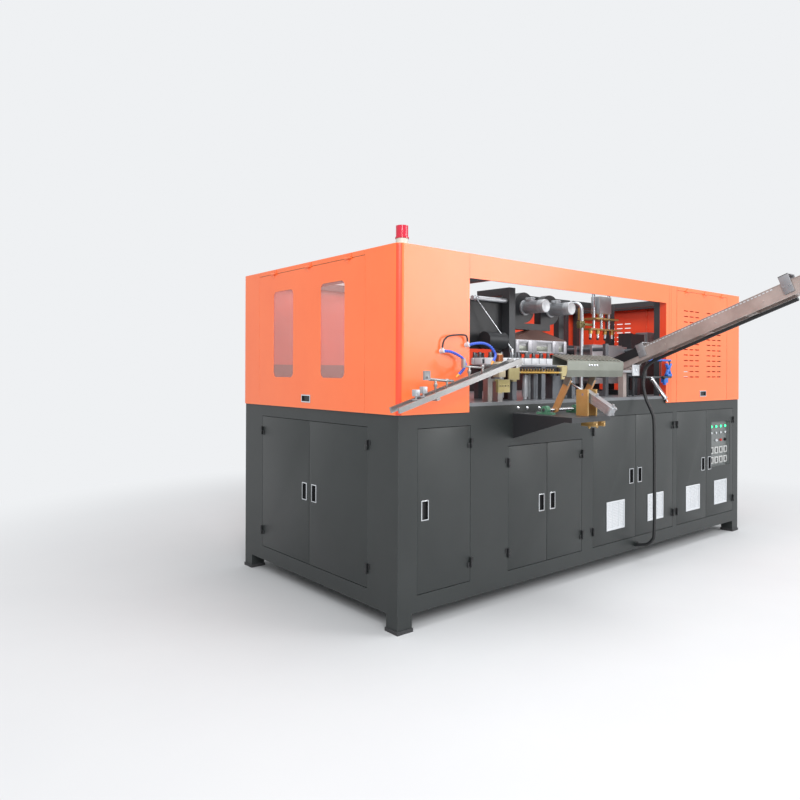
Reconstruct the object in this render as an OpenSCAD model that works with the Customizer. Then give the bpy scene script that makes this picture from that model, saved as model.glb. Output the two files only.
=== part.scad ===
/* [Cabinet] */
// Depth of the base cabinet
base_w = 1750; // [1700:10:1950]
// Height of the cabinet's lower edge
base_z = 95; // [70:5:130]
// Height of the machine table's upper face
table_z = 1230; // [1225:1:1245]
// Thickness of the machine table
table_t = 20; // [16:1:30]
// Depth of the frame bars
frame_t = 40; // [30:5:60]
// Width of the square legs
leg_w = 100; // [80:5:120]
// Wall of the square legs
leg_wall = 6; // [4:1:10]
// Thickness of the foot pads
pad_t = 20; // [12:1:30]
// Foot pad's reach beyond its leg
pad_out = 5; // [2:1:15]
// Diameter of a foot pad's hole
pad_bore = 18; // [14:1:24]
// Thickness of the bolted panels
cover_t = 3; // [2:0.5:5]
// Thickness of the cabinet's floor sheet
floor_t = 4; // [3:0.5:8]

/* [Doors] */
// Height of the doors' lower edge
door_z0 = 188; // [170:2:230]
// Height of the tall doors' upper edge
door_z1 = 1100; // [1080:2:1120]
// Height of the low pair's upper edge
low_door_z1 = 957; // [900:1:980]
// Width of the left corner stile
stile_w = 135; // [110:5:160]
// Width of the single front door
single_w = 413; // [380:1:430]
// Width of the plain front panel
plain_w = 328; // [310:1:360]
// Width of the low front pair
low_pair_w = 754; // [740:2:780]
// Width of the post beside the low pair
post_w = 127; // [110:1:140]
// Width of the middle pair
middle_pair_w = 1075; // [1060:1:1090]
// Width of the slim post
slim_post_w = 60; // [56:1:80]
// Width of the right pair of doors
right_pair_w = 973; // [960:1:1000]
// Width of the right corner stile
right_stile_w = 95; // [80:5:110]
// Width of the end face's front stile
end_stile_w = 272; // [250:1:300]
// Width of the end pair
end_pair_w = 1225; // [1180:5:1240]
// Gap around each door
door_gap = 3; // [2:0.5:5]
// Depth of a door pan
door_t = 20; // [16:1:25]
// Sheet thickness of a door pan
door_skin = 2; // [1.5:0.5:3]
// Lower hinge's centre above a door's edge
hinge_low = 112; // [90:1:150]
// Upper hinge's centre below a door's edge
hinge_high = 103; // [90:1:150]
// Outside diameter of a hinge knuckle
knuckle_d = 12; // [10:0.5:14]
// Length of one half of a hinge
knuckle_h = 28; // [24:1:34]
// Diameter of a hinge pin
hinge_pin_d = 5; // [4:0.5:6]
// Hinge axis in front of a door
hinge_out = 8; // [7:0.5:10]
// Width of a hinge wing
wing_w = 25; // [20:1:28]
// Width of a door pull
pull_w = 56; // [50:1:64]
// Height of a door pull
pull_h = 112; // [100:1:130]
// Height of the pulls' centre on the tall doors
pull_z = 646; // [620:1:680]
// Height of the pulls' centre on the low pair
low_pull_z = 573; // [550:1:600]
// Pull's centre from the door's free edge
pull_edge = 56; // [48:1:70]
// Width of a door vent
vent_w = 225; // [200:5:240]
// Height of a door vent
vent_h = 206; // [180:2:220]
// Height of a vent's lower edge
vent_z = 280; // [260:2:300]
// Number of slats in a vent
vent_slats = 8; // [6:1:10]

/* [Control panel] */
// Width of the control panel's opening
panel_w = 331; // [320:1:345]
// Height of the control panel's opening
panel_h = 385; // [370:1:400]
// Height of the opening's lower edge
panel_z = 607; // [590:1:620]
// Depth of the control panel's recess
recess = 26; // [22:1:40]
// Diameter of a panel lamp
lamp_d = 26; // [22:1:30]
// Width of a panel meter
meter_w = 62; // [56:1:68]
// Height of a panel meter
meter_h = 60; // [50:1:64]
// Diameter of a push button
button_d = 22; // [18:1:26]
// Travel of a push button
button_travel = 4; // [2:0.5:6]

/* [Hood] */
// Height of the hood's upper edge
hood_top = 2100; // [2090:5:2160]
// Height of the hood's lower edge
hood_z = 1177; // [1170:1:1185]
// Hood's overhang beyond the cabinet
hood_over = 15; // [15:1:20]
// Thickness of the hood's sheet
hood_t = 2.5; // [2:0.5:4]
// Radius of the hood's vertical corners
hood_r = 38; // [30:1:50]
// Depth of the folded edges of a hood panel
hood_fold = 14; // [10:1:14]
// Width of the hood's square frame tubes
tube_w = 50; // [40:5:60]
// Right edge of the left front panel
open_x0 = 520; // [500:5:560]
// Right edge of the front opening
open_x1 = 2700; // [2690:5:2740]
// Lower edge of the band above the front opening
fascia_z = 1958; // [1940:2:1980]
// Left edge of the right front hatch
hatch_x0 = 2860; // [2840:5:2890]
// Width of the right front hatch
hatch_w = 853; // [820:1:880]
// Gap around a hatch
hatch_gap = 3; // [2:0.5:5]
// Front edge of the end hatch
end_hatch_y0 = 282; // [260:2:300]
// Width of the end hatch
end_hatch_w = 1242; // [1200:2:1260]
// Width of a hatch window
window_w = 258; // [240:2:280]
// Height of a hatch window
window_h = 576; // [540:2:600]
// Height of a window's lower edge
window_z = 1372; // [1350:2:1400]
// Corner radius of a hatch window
window_r = 36; // [24:1:50]
// Window's centre from the hatch's side
window_in = 330; // [300:5:360]
// Length of an air slot
slot_l = 66; // [56:1:72]
// Height of an air slot
slot_h = 9; // [6:1:12]
// Vertical pitch of the air slots
slot_pitch = 44.6; // [40:0.1:48]
// Rows of air slots
slot_rows = 13; // [10:1:13]
// Height of the lowest row of air slots
slot_z = 1378; // [1360:1:1400]
// Diameter of the beacon's dome
beacon_d = 76; // [70:1:90]
// Height of the beacon's dome
dome_h = 82; // [70:1:95]
// Height of the beacon's foot
beacon_h = 38; // [30:1:50]

/* [Oven] */
// Left face of the oven
oven_x = 1225; // [1225:5:1245]
// Length of the oven
oven_l = 554; // [530:2:560]
// Front face of the oven
oven_y = 250; // [246:1:256]
// Depth of the oven
oven_w = 220; // [215:1:230]
// Height of the oven's lower edge
oven_z = 1545; // [1543:1:1560]
// Height of the oven's roof
oven_top = 1634; // [1626:2:1650]
// Thickness of the oven's walls
oven_t = 12; // [8:1:14]
// Height of the exhaust hood's neck
neck_z = 1740; // [1735:1:1745]
// Diameter of a blower scroll
scroll_d = 220; // [200:2:230]
// Width of a blower scroll
scroll_w = 60; // [50:1:66]
// Diameter of a blower motor
motor_d = 94; // [88:1:104]
// Length of a blower motor
motor_l = 185; // [160:5:200]
// Centre of the first blower along the machine
blower_x = 1520; // [1500:2:1540]
// Distance between the blowers
blower_pitch = 294; // [280:2:310]
// Height of the blower axes
blower_z = 1877; // [1872:1:1882]
// Exhaust neck's centre along the machine
neck_x = 1640; // [1620:2:1660]

/* [Conveyor] */
// Pitch of the preform chain
chain_pitch = 76.2; // [74:0.1:78]
// Pockets on a chain wheel
wheel_n = 10; // [8:2:12]
// Chain pitches between the two wheels
straight_n = 8; // [7:1:9]
// Left wheel's centre along the machine
wheel_x = 1000; // [990:1:1010]
// Wheels' centre line in depth
wheel_y = 250; // [248:1:254]
// Height of the chain links' lower edge
chain_z = 1465; // [1462:1:1470]
// Height of a chain link
link_h = 38; // [34:1:40]
// Thickness of a chain link
link_t = 8; // [6:0.5:10]
// Diameter of a preform spindle
spindle_d = 22; // [18:1:24]
// Height of a preform spindle above its link
spindle_h = 34; // [28:1:40]
// Diameter of a wheel shaft
wheel_shaft_d = 35; // [30:1:40]
// Thickness of a chain wheel
wheel_t = 12; // [10:1:14]

/* [Moulding station] */
// Centre of the mould along the machine
mould_x = 2440; // [2430:2:2450]
// Parting plane of the mould in depth
mould_y = 400; // [395:1:405]
// Length of the mould
mould_l = 400; // [396:2:410]
// Depth of one mould half
mould_w = 62; // [58:1:70]
// Height of the mould's lower face
mould_z = 1345; // [1340:1:1350]
// Height of the mould
mould_h = 285; // [280:1:290]
// Distance between the bottle cavities
cavity_pitch = 98; // [96:1:100]
// Number of bottle cavities
cavities = 4; // [4:1:4]
// Diameter of a bottle cavity
bottle_d = 70; // [60:1:76]
// Opening travel of each mould half
mould_travel = 70; // [60:5:80]
// Diameter of the tie bars
tie_d = 30; // [26:1:34]
// Travel of the blowing head
head_travel = 36; // [30:1:38]
// Diameter of the head's guide columns
guide_d = 25; // [20:1:30]

/* [Take-out arm] */
// Height of the shelf's upper face
shelf_z = 1158; // [1150:1:1160]
// Thickness of the shelf
shelf_t = 4; // [3:0.5:6]
// Swing axis in front of the cabinet
swing_y = 200; // [195:1:205]
// Height of the swing axis above the shelf
swing_h = 27; // [25:1:30]
// Length of a swing lever
lever_l = 231; // [225:1:236]
// Forward lean of the levers at rest
lever_lean = 27.5; // [26:0.5:29]
// Width of a swing lever
lever_w = 40; // [34:1:42]
// Thickness of a swing lever
lever_t = 15; // [12:0.5:16]
// Diameter of the swing shaft
swing_shaft_d = 20; // [16:1:22]
// Length of the take-out tray
tray_l = 580; // [570:5:600]
// Sheet thickness of the take-out tray
tray_t = 3; // [2:0.5:4]
// Cylinder joint's distance from the swing axis
crank_r = 190; // [186:1:192]
// Width of the square cylinder
cyl_w = 50; // [44:1:52]
// Length of the cylinder behind its trunnion
cyl_back = 190; // [186:1:200]
// Length of the cylinder in front of its trunnion
cyl_front = 15; // [12:1:20]
// Diameter of the cylinder's rod
rod_d = 16; // [12:1:16]
// Trunnion's distance in front of the cabinet
trunnion_y = 415; // [413:1:418]
// Trunnion's height above the shelf
trunnion_h = 124; // [122:1:126]
// Diameter of a trunnion pin
trunnion_d = 16; // [12:1:20]

/* [Chutes] */
// Slope of the outlet rails
rail_slope = 15.8; // [15:0.1:16.8]
// Length of an outlet rail
rail_l = 975; // [940:5:990]
// Height of an outlet rail
rail_h = 30; // [26:1:32]
// Thickness of an outlet rail
rail_t = 12; // [8:1:14]
// Distance between the outlet rails
rail_pitch = 65; // [55:1:70]
// Slope of the feed chute
chute_slope = 20.9; // [20:0.1:21.5]
// Length of the feed chute
chute_l = 1390; // [1300:10:1420]
// Width of the feed chute
chute_w = 84; // [70:2:90]
// Height of the feed chute's sides
chute_h = 98; // [90:1:105]
// Sheet thickness of the feed chute
chute_t = 3; // [2:0.5:4]
// Centre of the feed chute along the machine
chute_x = 2250; // [2240:2:2260]
// Outside diameter of the corrugated conduit
conduit_d = 26; // [22:1:28]

/* [Hidden] */
$fn = 48;
run_gap = 0.05;
gap = 0.3;

// The drawing's origin is the cabinet's front left corner on the floor.
module placed() {
    translate([-base_l / 2, -base_w / 2, 0]) children();
}
module bar(x, y, z) {
    translate([x[0], y[0], z[0]]) cube([x[1] - x[0], y[1] - y[0], z[1] - z[0]]);
}
module x_rod(x, y, z, d) {
    translate([x[0], y, z]) rotate([0, 90, 0]) cylinder(d = d, h = x[1] - x[0]);
}
module y_rod(x, y, z, d) {
    translate([x, y[0], z]) rotate([-90, 0, 0]) cylinder(d = d, h = y[1] - y[0]);
}
module z_rod(x, y, z, d) {
    translate([x, y, z[0]]) cylinder(d = d, h = z[1] - z[0]);
}

// A folded sheet's section from its outer line and thickness
function unit(v) = v / norm(v);
function side_of(a, b) = let (d = unit(b - a)) [-d[1], d[0]];
function corner_of(p, i, t) =
    i == 0 ? p[0] + t * side_of(p[0], p[1]) :
    i == len(p) - 1 ? p[i] + t * side_of(p[i - 1], p[i]) :
    let (n = side_of(p[i - 1], p[i]), m = unit(n + side_of(p[i], p[i + 1])))
        p[i] + m * t / (m * n);
module folded(p, t) {
    polygon(concat(p, [for (i = [len(p) - 1 : -1 : 0]) corner_of(p, i, t)]));
}
module rounded_rect(w, h, r) {
    translate([r, 0]) square([w - 2 * r, h]);
    translate([0, r]) square([w, h - 2 * r]);
    for (x = [r, w - r], y = [r, h - r]) translate([x, y]) circle(r);
}

// Front door edges from left to right
single_x = stile_w;
plain_x = single_x + single_w;
low_x = plain_x + plain_w;
post_x = low_x + low_pair_w;
middle_x = post_x + post_w;
slim_x = middle_x + middle_pair_w;
right_x = slim_x + slim_post_w;
base_l = right_x + right_pair_w + right_stile_w;
end_pair_y = end_stile_w;
rail_top = table_z - table_t;
rear_posts = 5;
strut_w = 60;
cover_lap = 15;

module legs_at() {
    for (x = [0, base_l - leg_w], y = [0, base_w - leg_w]) translate([x, y, 0]) children();
}
module base_frame() {
    color("dimgray") placed() {
        bar([0, base_l], [0, frame_t], [base_z, door_z0]);
        bar([0, base_l], [0, frame_t], [door_z1, rail_top]);
        bar([low_x, post_x], [0, frame_t], [low_door_z1, door_z1]);
        for (p = [[0, single_x], [plain_x, low_x], [post_x, middle_x], [slim_x, right_x],
            [base_l - right_stile_w, base_l]])
            bar(p, [0, frame_t], [door_z0, door_z1]);
        for (x = [0, base_l - frame_t], z = [[base_z, door_z0], [door_z1, rail_top]])
            bar([x, x + frame_t], [frame_t, base_w - frame_t], z);
        for (y = [[frame_t, end_pair_y], [end_pair_y + end_pair_w, base_w - frame_t]])
            bar([0, frame_t], y, [door_z0, door_z1]);
        for (y = [frame_t, (base_w - strut_w) / 2, base_w - frame_t - strut_w])
            bar([base_l - frame_t, base_l], [y, y + strut_w], [door_z0, door_z1]);
        for (z = [[base_z, door_z0], [door_z1, rail_top]])
            bar([0, base_l], [base_w - frame_t, base_w], z);
        for (i = [0 : rear_posts - 1], x = [i * (base_l - strut_w) / (rear_posts - 1)])
            bar([x, x + strut_w], [base_w - frame_t, base_w], [door_z0, door_z1]);
        for (p = [plain_x, post_x + post_w / 2, slim_x])
            bar([p, p + frame_t], [frame_t, base_w - frame_t], [rail_top - strut_w, rail_top]);
        bar([conduit_x - gland, conduit_x + gland], [-gland, 0],
            [conduit_in - gland, conduit_in + gland]);
        bar([frame_t, base_l - frame_t], [frame_t, base_w - frame_t], [base_z, base_z + floor_t]);
        legs_at() difference() {
            translate([0, 0, pad_t]) cube([leg_w, leg_w, base_z - pad_t]);
            translate([leg_wall, leg_wall, pad_t])
                cube([leg_w - 2 * leg_wall, leg_w - 2 * leg_wall, base_z - pad_t]);
        }
    }
}
module foot_pads() {
    color("gray") placed() legs_at() difference() {
        translate([-pad_out, -pad_out, 0])
            cube([leg_w + 2 * pad_out, leg_w + 2 * pad_out, pad_t]);
        translate([leg_w / 2, leg_w / 2, -1]) cylinder(d = pad_bore, h = pad_t + 2);
    }
}
rear_bay = (base_l - strut_w) / (rear_posts - 1);
module base_panels() {
    color("dimgray") placed() {
        for (i = [0 : rear_posts - 2], x = i * rear_bay + strut_w - cover_lap)
            bar([x, x + rear_bay - strut_w + 2 * cover_lap], [base_w, base_w + cover_t],
                [door_z0 - cover_lap, door_z1 + cover_lap]);
        for (s = [0, 1], y = [frame_t + strut_w - cover_lap,
            (base_w + strut_w) / 2 - cover_lap][s])
            bar([base_l, base_l + cover_t],
                [y, y + base_w / 2 - frame_t - 1.5 * strut_w + 2 * cover_lap],
                [door_z0 - cover_lap, door_z1 + cover_lap]);
    }
}
module machine_table() {
    color("silver") placed() bar([0, base_l], [0, base_w], [rail_top, table_z]);
}

// Hinges: a door half has a bore and a frame half the pin.
wing_t = 3;
pin_grip = knuckle_h - 4;
module door_half() {
    difference() {
        union() {
            translate([0, -hinge_out, 0]) cylinder(d = knuckle_d, h = knuckle_h);
            translate([0, -wing_t, 0]) cube([wing_w, wing_t, knuckle_h]);
            translate([0, -hinge_out, 0]) cube([wing_t, hinge_out - wing_t, knuckle_h]);
        }
        translate([0, -hinge_out, -1]) cylinder(d = hinge_pin_d + 2 * run_gap, h = knuckle_h + 2);
    }
}
module frame_half() {
    translate([0, -hinge_out, knuckle_h + gap]) cylinder(d = knuckle_d, h = knuckle_h);
    translate([0, -hinge_out, knuckle_h - pin_grip])
        cylinder(d = hinge_pin_d, h = pin_grip + knuckle_h);
    translate([-wing_w, -wing_t, knuckle_h + gap]) cube([wing_w, wing_t, knuckle_h]);
    translate([-wing_t, -hinge_out, knuckle_h + gap])
        cube([wing_t, hinge_out - wing_t, knuckle_h]);
}
module hinge_row(z0, z1) {
    for (z = [z0 + hinge_low, z1 - hinge_high]) translate([0, 0, z - knuckle_h]) children();
}
// Doors are drawn with the hinge line at x 0 and the outer face at y 0.
module on_front(x, flip) {
    translate([x, 0, 0]) mirror([flip, 0, 0]) children();
}
module on_end(y, flip) {
    translate([0, y, 0]) rotate([0, 0, -90]) mirror([flip, 0, 0]) children();
}
pull_lip = 3;
pull_cup = 16;
hatch_cup = 10;
module pull(w, h, d) {
    difference() {
        union() {
            translate([-w / 2, -pull_lip, -h / 2]) cube([w, pull_lip, h]);
            translate([-w / 2 + pull_lip, 0, -h / 2 + pull_lip])
                cube([w - 2 * pull_lip, d, h - 2 * pull_lip]);
        }
        translate([-w / 2 + 2 * pull_lip, -pull_lip - 1, -h / 2 + 2 * pull_lip])
            cube([w - 4 * pull_lip, d + pull_lip - 1, h - 4 * pull_lip]);
    }
}
module pull_hole(w, h) {
    translate([-w / 2 + pull_lip, -1, -h / 2 + pull_lip])
        cube([w - 2 * pull_lip, door_t + 2, h - 2 * pull_lip]);
}
vent_rim = 12;
vent_out = 6;
module vent() {
    inner_w = vent_w - 2 * vent_rim;
    inner_h = vent_h - 2 * vent_rim;
    difference() {
        translate([-vent_w / 2, -vent_out, 0]) cube([vent_w, vent_out, vent_h]);
        translate([-inner_w / 2, -vent_out - 1, vent_rim]) cube([inner_w, vent_out + 2, inner_h]);
    }
    for (i = [0 : vent_slats - 1])
        translate([-inner_w / 2, -vent_out, vent_rim + i * inner_h / vent_slats])
            rotate([0, 90, 0]) linear_extrude(inner_w)
                polygon([[0, 0], [0, 2], [-inner_h / vent_slats * 0.8, vent_out],
                    [-inner_h / vent_slats * 0.8, vent_out - 2]]);
}
module vent_hole() {
    translate([-vent_w / 2 + vent_rim, -1, vent_z + vent_rim])
        cube([vent_w - 2 * vent_rim, door_skin + 2, vent_h - 2 * vent_rim]);
}
module leaf(w, z0, z1, pz, vent_x = 0) {
    wide = w - door_gap / 2;
    difference() {
        translate([door_gap / 2, 0, z0 + door_gap])
            cube([wide - door_gap / 2, door_t, z1 - z0 - 2 * door_gap]);
        translate([door_gap / 2 + door_skin, door_skin, z0 + door_gap + door_skin])
            cube([wide - door_gap / 2 - 2 * door_skin, door_t,
                z1 - z0 - 2 * door_gap - 2 * door_skin]);
        translate([w - pull_edge, 0, pz]) pull_hole(pull_w, pull_h);
        if (vent_x > 0) translate([vent_x, 0, 0]) vent_hole();
    }
    translate([w - pull_edge, 0, pz]) pull(pull_w, pull_h, pull_cup);
    hinge_row(z0, z1) door_half();
    if (vent_x > 0) translate([vent_x, 0, vent_z]) vent();
}
// Each door as its hinge line, its side and its width
low_half = low_pair_w / 2;
middle_half = middle_pair_w / 2;
right_half = right_pair_w / 2;
end_half = end_pair_w / 2;
module front_door() {
    color("dimgray") placed() on_front(plain_x, 1) leaf(single_w, door_z0, door_z1, pull_z);
}
module low_door_left() {
    color("dimgray") placed() on_front(low_x, 0) leaf(low_half, door_z0, low_door_z1, low_pull_z);
}
module low_door_right() {
    color("dimgray") placed() on_front(post_x, 1) leaf(low_half, door_z0, low_door_z1, low_pull_z);
}
module middle_door_left() {
    color("dimgray") placed() on_front(middle_x, 0)
        leaf(middle_half, door_z0, door_z1, pull_z, middle_half / 2 + 8);
}
module middle_door_right() {
    color("dimgray") placed() on_front(slim_x, 1)
        leaf(middle_half, door_z0, door_z1, pull_z, middle_half / 2 - 9);
}
module right_door_left() {
    color("dimgray") placed() on_front(right_x, 0)
        leaf(right_half, door_z0, door_z1, pull_z, right_half / 2 + 16);
}
rim = 8;
panel_in = right_half - pull_edge - pull_w / 2 - panel_w - rim - 1;
module right_door_right() {
    color("dimgray") placed() on_front(base_l - right_stile_w, 1) difference() {
        leaf(right_half, door_z0, door_z1, pull_z, right_half / 2 - 8);
        translate([panel_in, -1, panel_z]) cube([panel_w, door_t + 2, panel_h]);
    }
}
module end_door_front() {
    color("dimgray") placed() on_end(end_pair_y, 1) leaf(end_half, door_z0, door_z1, pull_z);
}
module end_door_rear() {
    color("dimgray") placed() on_end(end_pair_y + end_pair_w, 0)
        leaf(end_half, door_z0, door_z1, pull_z);
}
module hinge_halves() {
    color("black") placed() {
        for (d = [[plain_x, 1, door_z1], [low_x, 0, low_door_z1], [post_x, 1, low_door_z1],
            [middle_x, 0, door_z1], [slim_x, 1, door_z1], [right_x, 0, door_z1],
            [base_l - right_stile_w, 1, door_z1]])
            on_front(d[0], d[1]) hinge_row(door_z0, d[2]) frame_half();
        for (d = [[end_pair_y, 1], [end_pair_y + end_pair_w, 0]])
            on_end(d[0], d[1]) hinge_row(door_z0, door_z1) frame_half();
    }
    color("black") on_hatch_end() hatch_hinges(end_hatch_w) frame_half();
    color("black") on_front_hatch() hatch_hinges(hatch_w) frame_half();
}

// Control panel behind the right door, drawn from the door's hinge line
module on_panel() {
    placed() on_front(base_l - right_stile_w, 1) translate([panel_in, 0, panel_z]) children();
}
panel_col = panel_w / 4;
lamp_row = panel_h - 45;
switch_row = panel_h - 100;
button_row = panel_h - 165;
meter_rows = [panel_h - 250, panel_h - 335];
plate_t = 3;
stem_d = 12;
module control_plate() {
    color("gainsboro") on_panel() {
        difference() {
            translate([0, recess, 0]) cube([panel_w, plate_t, panel_h]);
            for (x = [0.5, 1.5, 2.5])
                translate([x * panel_col, recess - 1, button_row]) rotate([-90, 0, 0])
                    cylinder(d = stem_d + 2 * run_gap, h = plate_t + 2);
        }
        difference() {
            translate([-rim, door_skin, -rim])
                cube([panel_w + 2 * rim, recess + plate_t - door_skin, panel_h + 2 * rim]);
            translate([0, door_skin - 1, 0]) cube([panel_w, recess + 2 + plate_t, panel_h]);
        }
    }
}
module panel_meters() {
    color("white") on_panel()
        for (i = [0 : 3], z = meter_rows) translate([(i + 0.5) * panel_col, recess, z])
            difference() {
                translate([-meter_w / 2, -10, -meter_h / 2]) cube([meter_w, 10, meter_h]);
                translate([-meter_w / 2 + 14, -11, -meter_h / 2 + 10])
                    cube([meter_w - 28, 7, meter_h - 20]);
            }
}
module panel_knob(h) {
    rotate([90, 0, 0]) {
        cylinder(d = lamp_d, h = 5);
        translate([0, 0, 5]) cylinder(d = lamp_d - 6, h = h);
    }
}
module panel_lamps() {
    color("lime") on_panel() for (i = [0 : 3]) {
        translate([(i + 0.5) * panel_col, recess, lamp_row]) panel_knob(9);
        translate([(i + 0.5) * panel_col, recess, switch_row]) panel_knob(6);
    }
}
module push_button() {
    cap = 10;
    rotate([90, 0, 0]) {
        translate([0, 0, button_travel + gap]) cylinder(d = button_d, h = cap);
        translate([0, 0, -plate_t - 6]) cylinder(d = stem_d, h = button_travel + plate_t + 7);
    }
}
module start_button() {
    color("red") on_panel() translate([2.5 * panel_col, recess, button_row]) push_button();
}
module stop_button() {
    color("red") on_panel() translate([1.5 * panel_col, recess, button_row]) push_button();
}
module mode_selector() {
    color("black") on_panel() translate([0.5 * panel_col, recess, button_row])
        rotate([90, 0, 0]) {
            translate([0, 0, gap]) cylinder(d = button_d + 4, h = 6);
            translate([0, 0, -plate_t - 6]) cylinder(d = stem_d, h = plate_t + 7);
            translate([-4, -button_d / 2, 6]) cube([8, button_d, 12]);
        }
}

// Hood
out_x0 = -hood_over;
out_x1 = base_l + hood_over;
out_y0 = -hood_over;
out_y1 = base_w + hood_over;
tube_x0 = out_x0 + hood_fold + gap;
tube_x1 = out_x1 - hood_fold - gap;
tube_y0 = out_y0 + hood_fold + gap;
tube_y1 = out_y1 - hood_fold - gap;
tube_z = hood_top - tube_w;
jamb_d = 55;
gusset_l = 90;
gusset_t = 4;
module hood_frame() {
    color("dimgray") placed() {
        for (x = [tube_x0, tube_x1 - tube_w], y = [tube_y0, tube_y1 - tube_w])
            bar([x, x + tube_w], [y, y + tube_w], [table_z, tube_z]);
        for (x = [open_x0 - tube_w, open_x1, hatch_x0 + hatch_w])
            bar([x, x + tube_w], [tube_y1 - tube_w, tube_y1], [table_z, tube_z]);
        for (x = [open_x0 - tube_w, hatch_x0 + hatch_w])
            bar([x, x + tube_w], [tube_y0, tube_y0 + tube_w], [table_z, tube_z]);
        bar([open_x1, open_x1 + tube_w], [out_y0 + jamb_d + gap, out_y0 + jamb_d + tube_w],
            [table_z, tube_z]);
        bar([open_x1, open_x1 + tube_w], [tube_y0 + tube_w, out_y0 + jamb_d + tube_w],
            [tube_z, hood_top]);
        for (y = [tube_y0, tube_y1 - tube_w])
            bar([tube_x0, tube_x1], [y, y + tube_w], [tube_z, hood_top]);
        for (x = [tube_x0, tube_x1 - tube_w, open_x0 - tube_w, oven_x - tube_w, hatch_x0 + hatch_w])
            bar([x, x + tube_w], [tube_y0 + tube_w, tube_y1 - tube_w], [tube_z, hood_top]);
        for (y = [end_hatch_y0 - tube_w, end_hatch_y0 + end_hatch_w])
            bar([tube_x0, tube_x0 + tube_w], [y, y + tube_w], [table_z, tube_z]);
        bar([tube_x0 + tube_w, tube_x0 + tube_w + gusset_l],
            [tube_y0 + tube_w, tube_y0 + tube_w + gusset_l], [hood_top - gusset_t, hood_top]);
    }
}
// A corner panel folded from one sheet, with its round corner at the origin
module corner_sheet(a, b) {
    linear_extrude(hood_top - hood_z) {
        translate([hood_r, 0]) square([a - hood_r, hood_t]);
        translate([0, hood_r]) square([hood_t, b - hood_r]);
        translate([hood_r, hood_r]) difference() {
            intersection() {
                circle(hood_r);
                translate([-hood_r, -hood_r]) square(hood_r);
            }
            circle(hood_r - hood_t);
        }
        translate([a - hood_t, hood_t]) square([hood_t, hood_fold - hood_t]);
        translate([hood_t, b - hood_t]) square([hood_fold - hood_t, hood_t]);
    }
}
module hood_corners() {
    left_a = open_x0 - out_x0;
    right_a = out_x1 - hatch_x0 - hatch_w;
    front_b = end_hatch_y0 - out_y0;
    rear_b = out_y1 - end_hatch_y0 - end_hatch_w;
    color("coral") placed() translate([0, 0, hood_z]) {
        translate([out_x0, out_y0, 0]) corner_sheet(left_a, front_b);
        translate([out_x0, out_y1, 0]) mirror([0, 1, 0]) corner_sheet(left_a, rear_b);
        translate([out_x1, out_y0, 0]) mirror([1, 0, 0]) corner_sheet(right_a, front_b);
        translate([out_x1, out_y1, 0]) mirror([1, 0, 0]) mirror([0, 1, 0])
            corner_sheet(right_a, rear_b);
    }
}
module hood_fascia() {
    color("coral") placed() {
        translate([open_x0, out_y0, 0]) rotate([90, 0, 90])
            linear_extrude(open_x1 - open_x0)
                folded([[hood_fold, fascia_z], [0, fascia_z], [0, hood_top], [hood_fold, hood_top]],
                    -hood_t);
        translate([0, 0, hood_z]) linear_extrude(hood_top - hood_z)
            translate([open_x1, out_y0]) folded([[0, 0], [hatch_x0 - open_x1, 0],
                [hatch_x0 - open_x1, hood_fold]], hood_t);
        bar([open_x1, open_x1 + hood_t], [out_y0 + hood_t, out_y0 + jamb_d],
            [table_z + gap, tube_z - gap]);
    }
    color("coral") on_front_hatch() hatch_header(hatch_w);
    color("coral") on_hatch_end() hatch_header(end_hatch_w);
}
slot_gap = 92;
module slot_field(w) {
    for (g = [-1, 1], k = [-1, 0, 1], r = [0 : slot_rows - 1])
        translate([w / 2 + g * 190 + k * slot_gap - slot_l / 2, -1,
            slot_z + r * slot_pitch - slot_h / 2])
            cube([slot_l, hood_t + 2, slot_h]);
}
module hood_pan(w, z0, z1) {
    difference() {
        translate([0, 0, z0]) cube([w, hood_fold, z1 - z0]);
        translate([hood_t, hood_t, z0 + hood_t])
            cube([w - 2 * hood_t, hood_fold, z1 - z0 - 2 * hood_t]);
    }
}
module hood_end_wall() {
    half = end_hatch_w / 2;
    color("coral") placed() translate([out_x1, end_hatch_y0, 0]) rotate([0, 0, 90])
        for (x = [0, half]) translate([x, 0, 0]) difference() {
            translate([gap, 0, 0]) hood_pan(half - 2 * gap, hood_z, hood_top);
            for (k = [-1, 0, 1], r = [0 : slot_rows - 1])
                translate([half / 2 + k * slot_gap - slot_l / 2, -1,
                    slot_z + r * slot_pitch - slot_h / 2])
                    cube([slot_l, hood_t + 2, slot_h]);
        }
}
module hood_rear_panels() {
    first = open_x0;
    width = (hatch_x0 + hatch_w - open_x0) / 4;
    color("coral") placed() for (i = [0 : 3])
        translate([first + (i + 1) * width, out_y1, 0]) rotate([0, 0, 180])
            translate([gap, 0, 0]) hood_pan(width - 2 * gap, hood_z, hood_top);
}
hatch_pull_w = 105;
hatch_pull_h = 48;
hatch_pull_z = 62;
hatch_line = hood_top - 30;
module hatch_hinges(w) {
    for (s = [0.15, 0.5, 0.85]) translate([s * w, 0, hatch_line]) rotate([0, 90, 0]) children();
}
module hatch_shell(w) {
    difference() {
        translate([hatch_gap, 0, 0])
            hood_pan(w - 2 * hatch_gap, hood_z, hatch_line - hatch_gap / 2);
        translate([w / 2, 0, hood_z + hatch_pull_z]) pull_hole(hatch_pull_w, hatch_pull_h);
    }
    translate([w / 2, 0, hood_z + hatch_pull_z]) pull(hatch_pull_w, hatch_pull_h, hatch_cup);
    hatch_hinges(w) door_half();
}
module hatch_header(w) {
    translate([hatch_gap, 0, 0]) rotate([90, 0, 90]) linear_extrude(w - 2 * hatch_gap)
        folded([[0, hatch_line + hatch_gap / 2], [0, hood_top], [hood_fold, hood_top]], -hood_t);
}
module on_front_hatch() {
    placed() translate([hatch_x0, out_y0, 0]) children();
}
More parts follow.
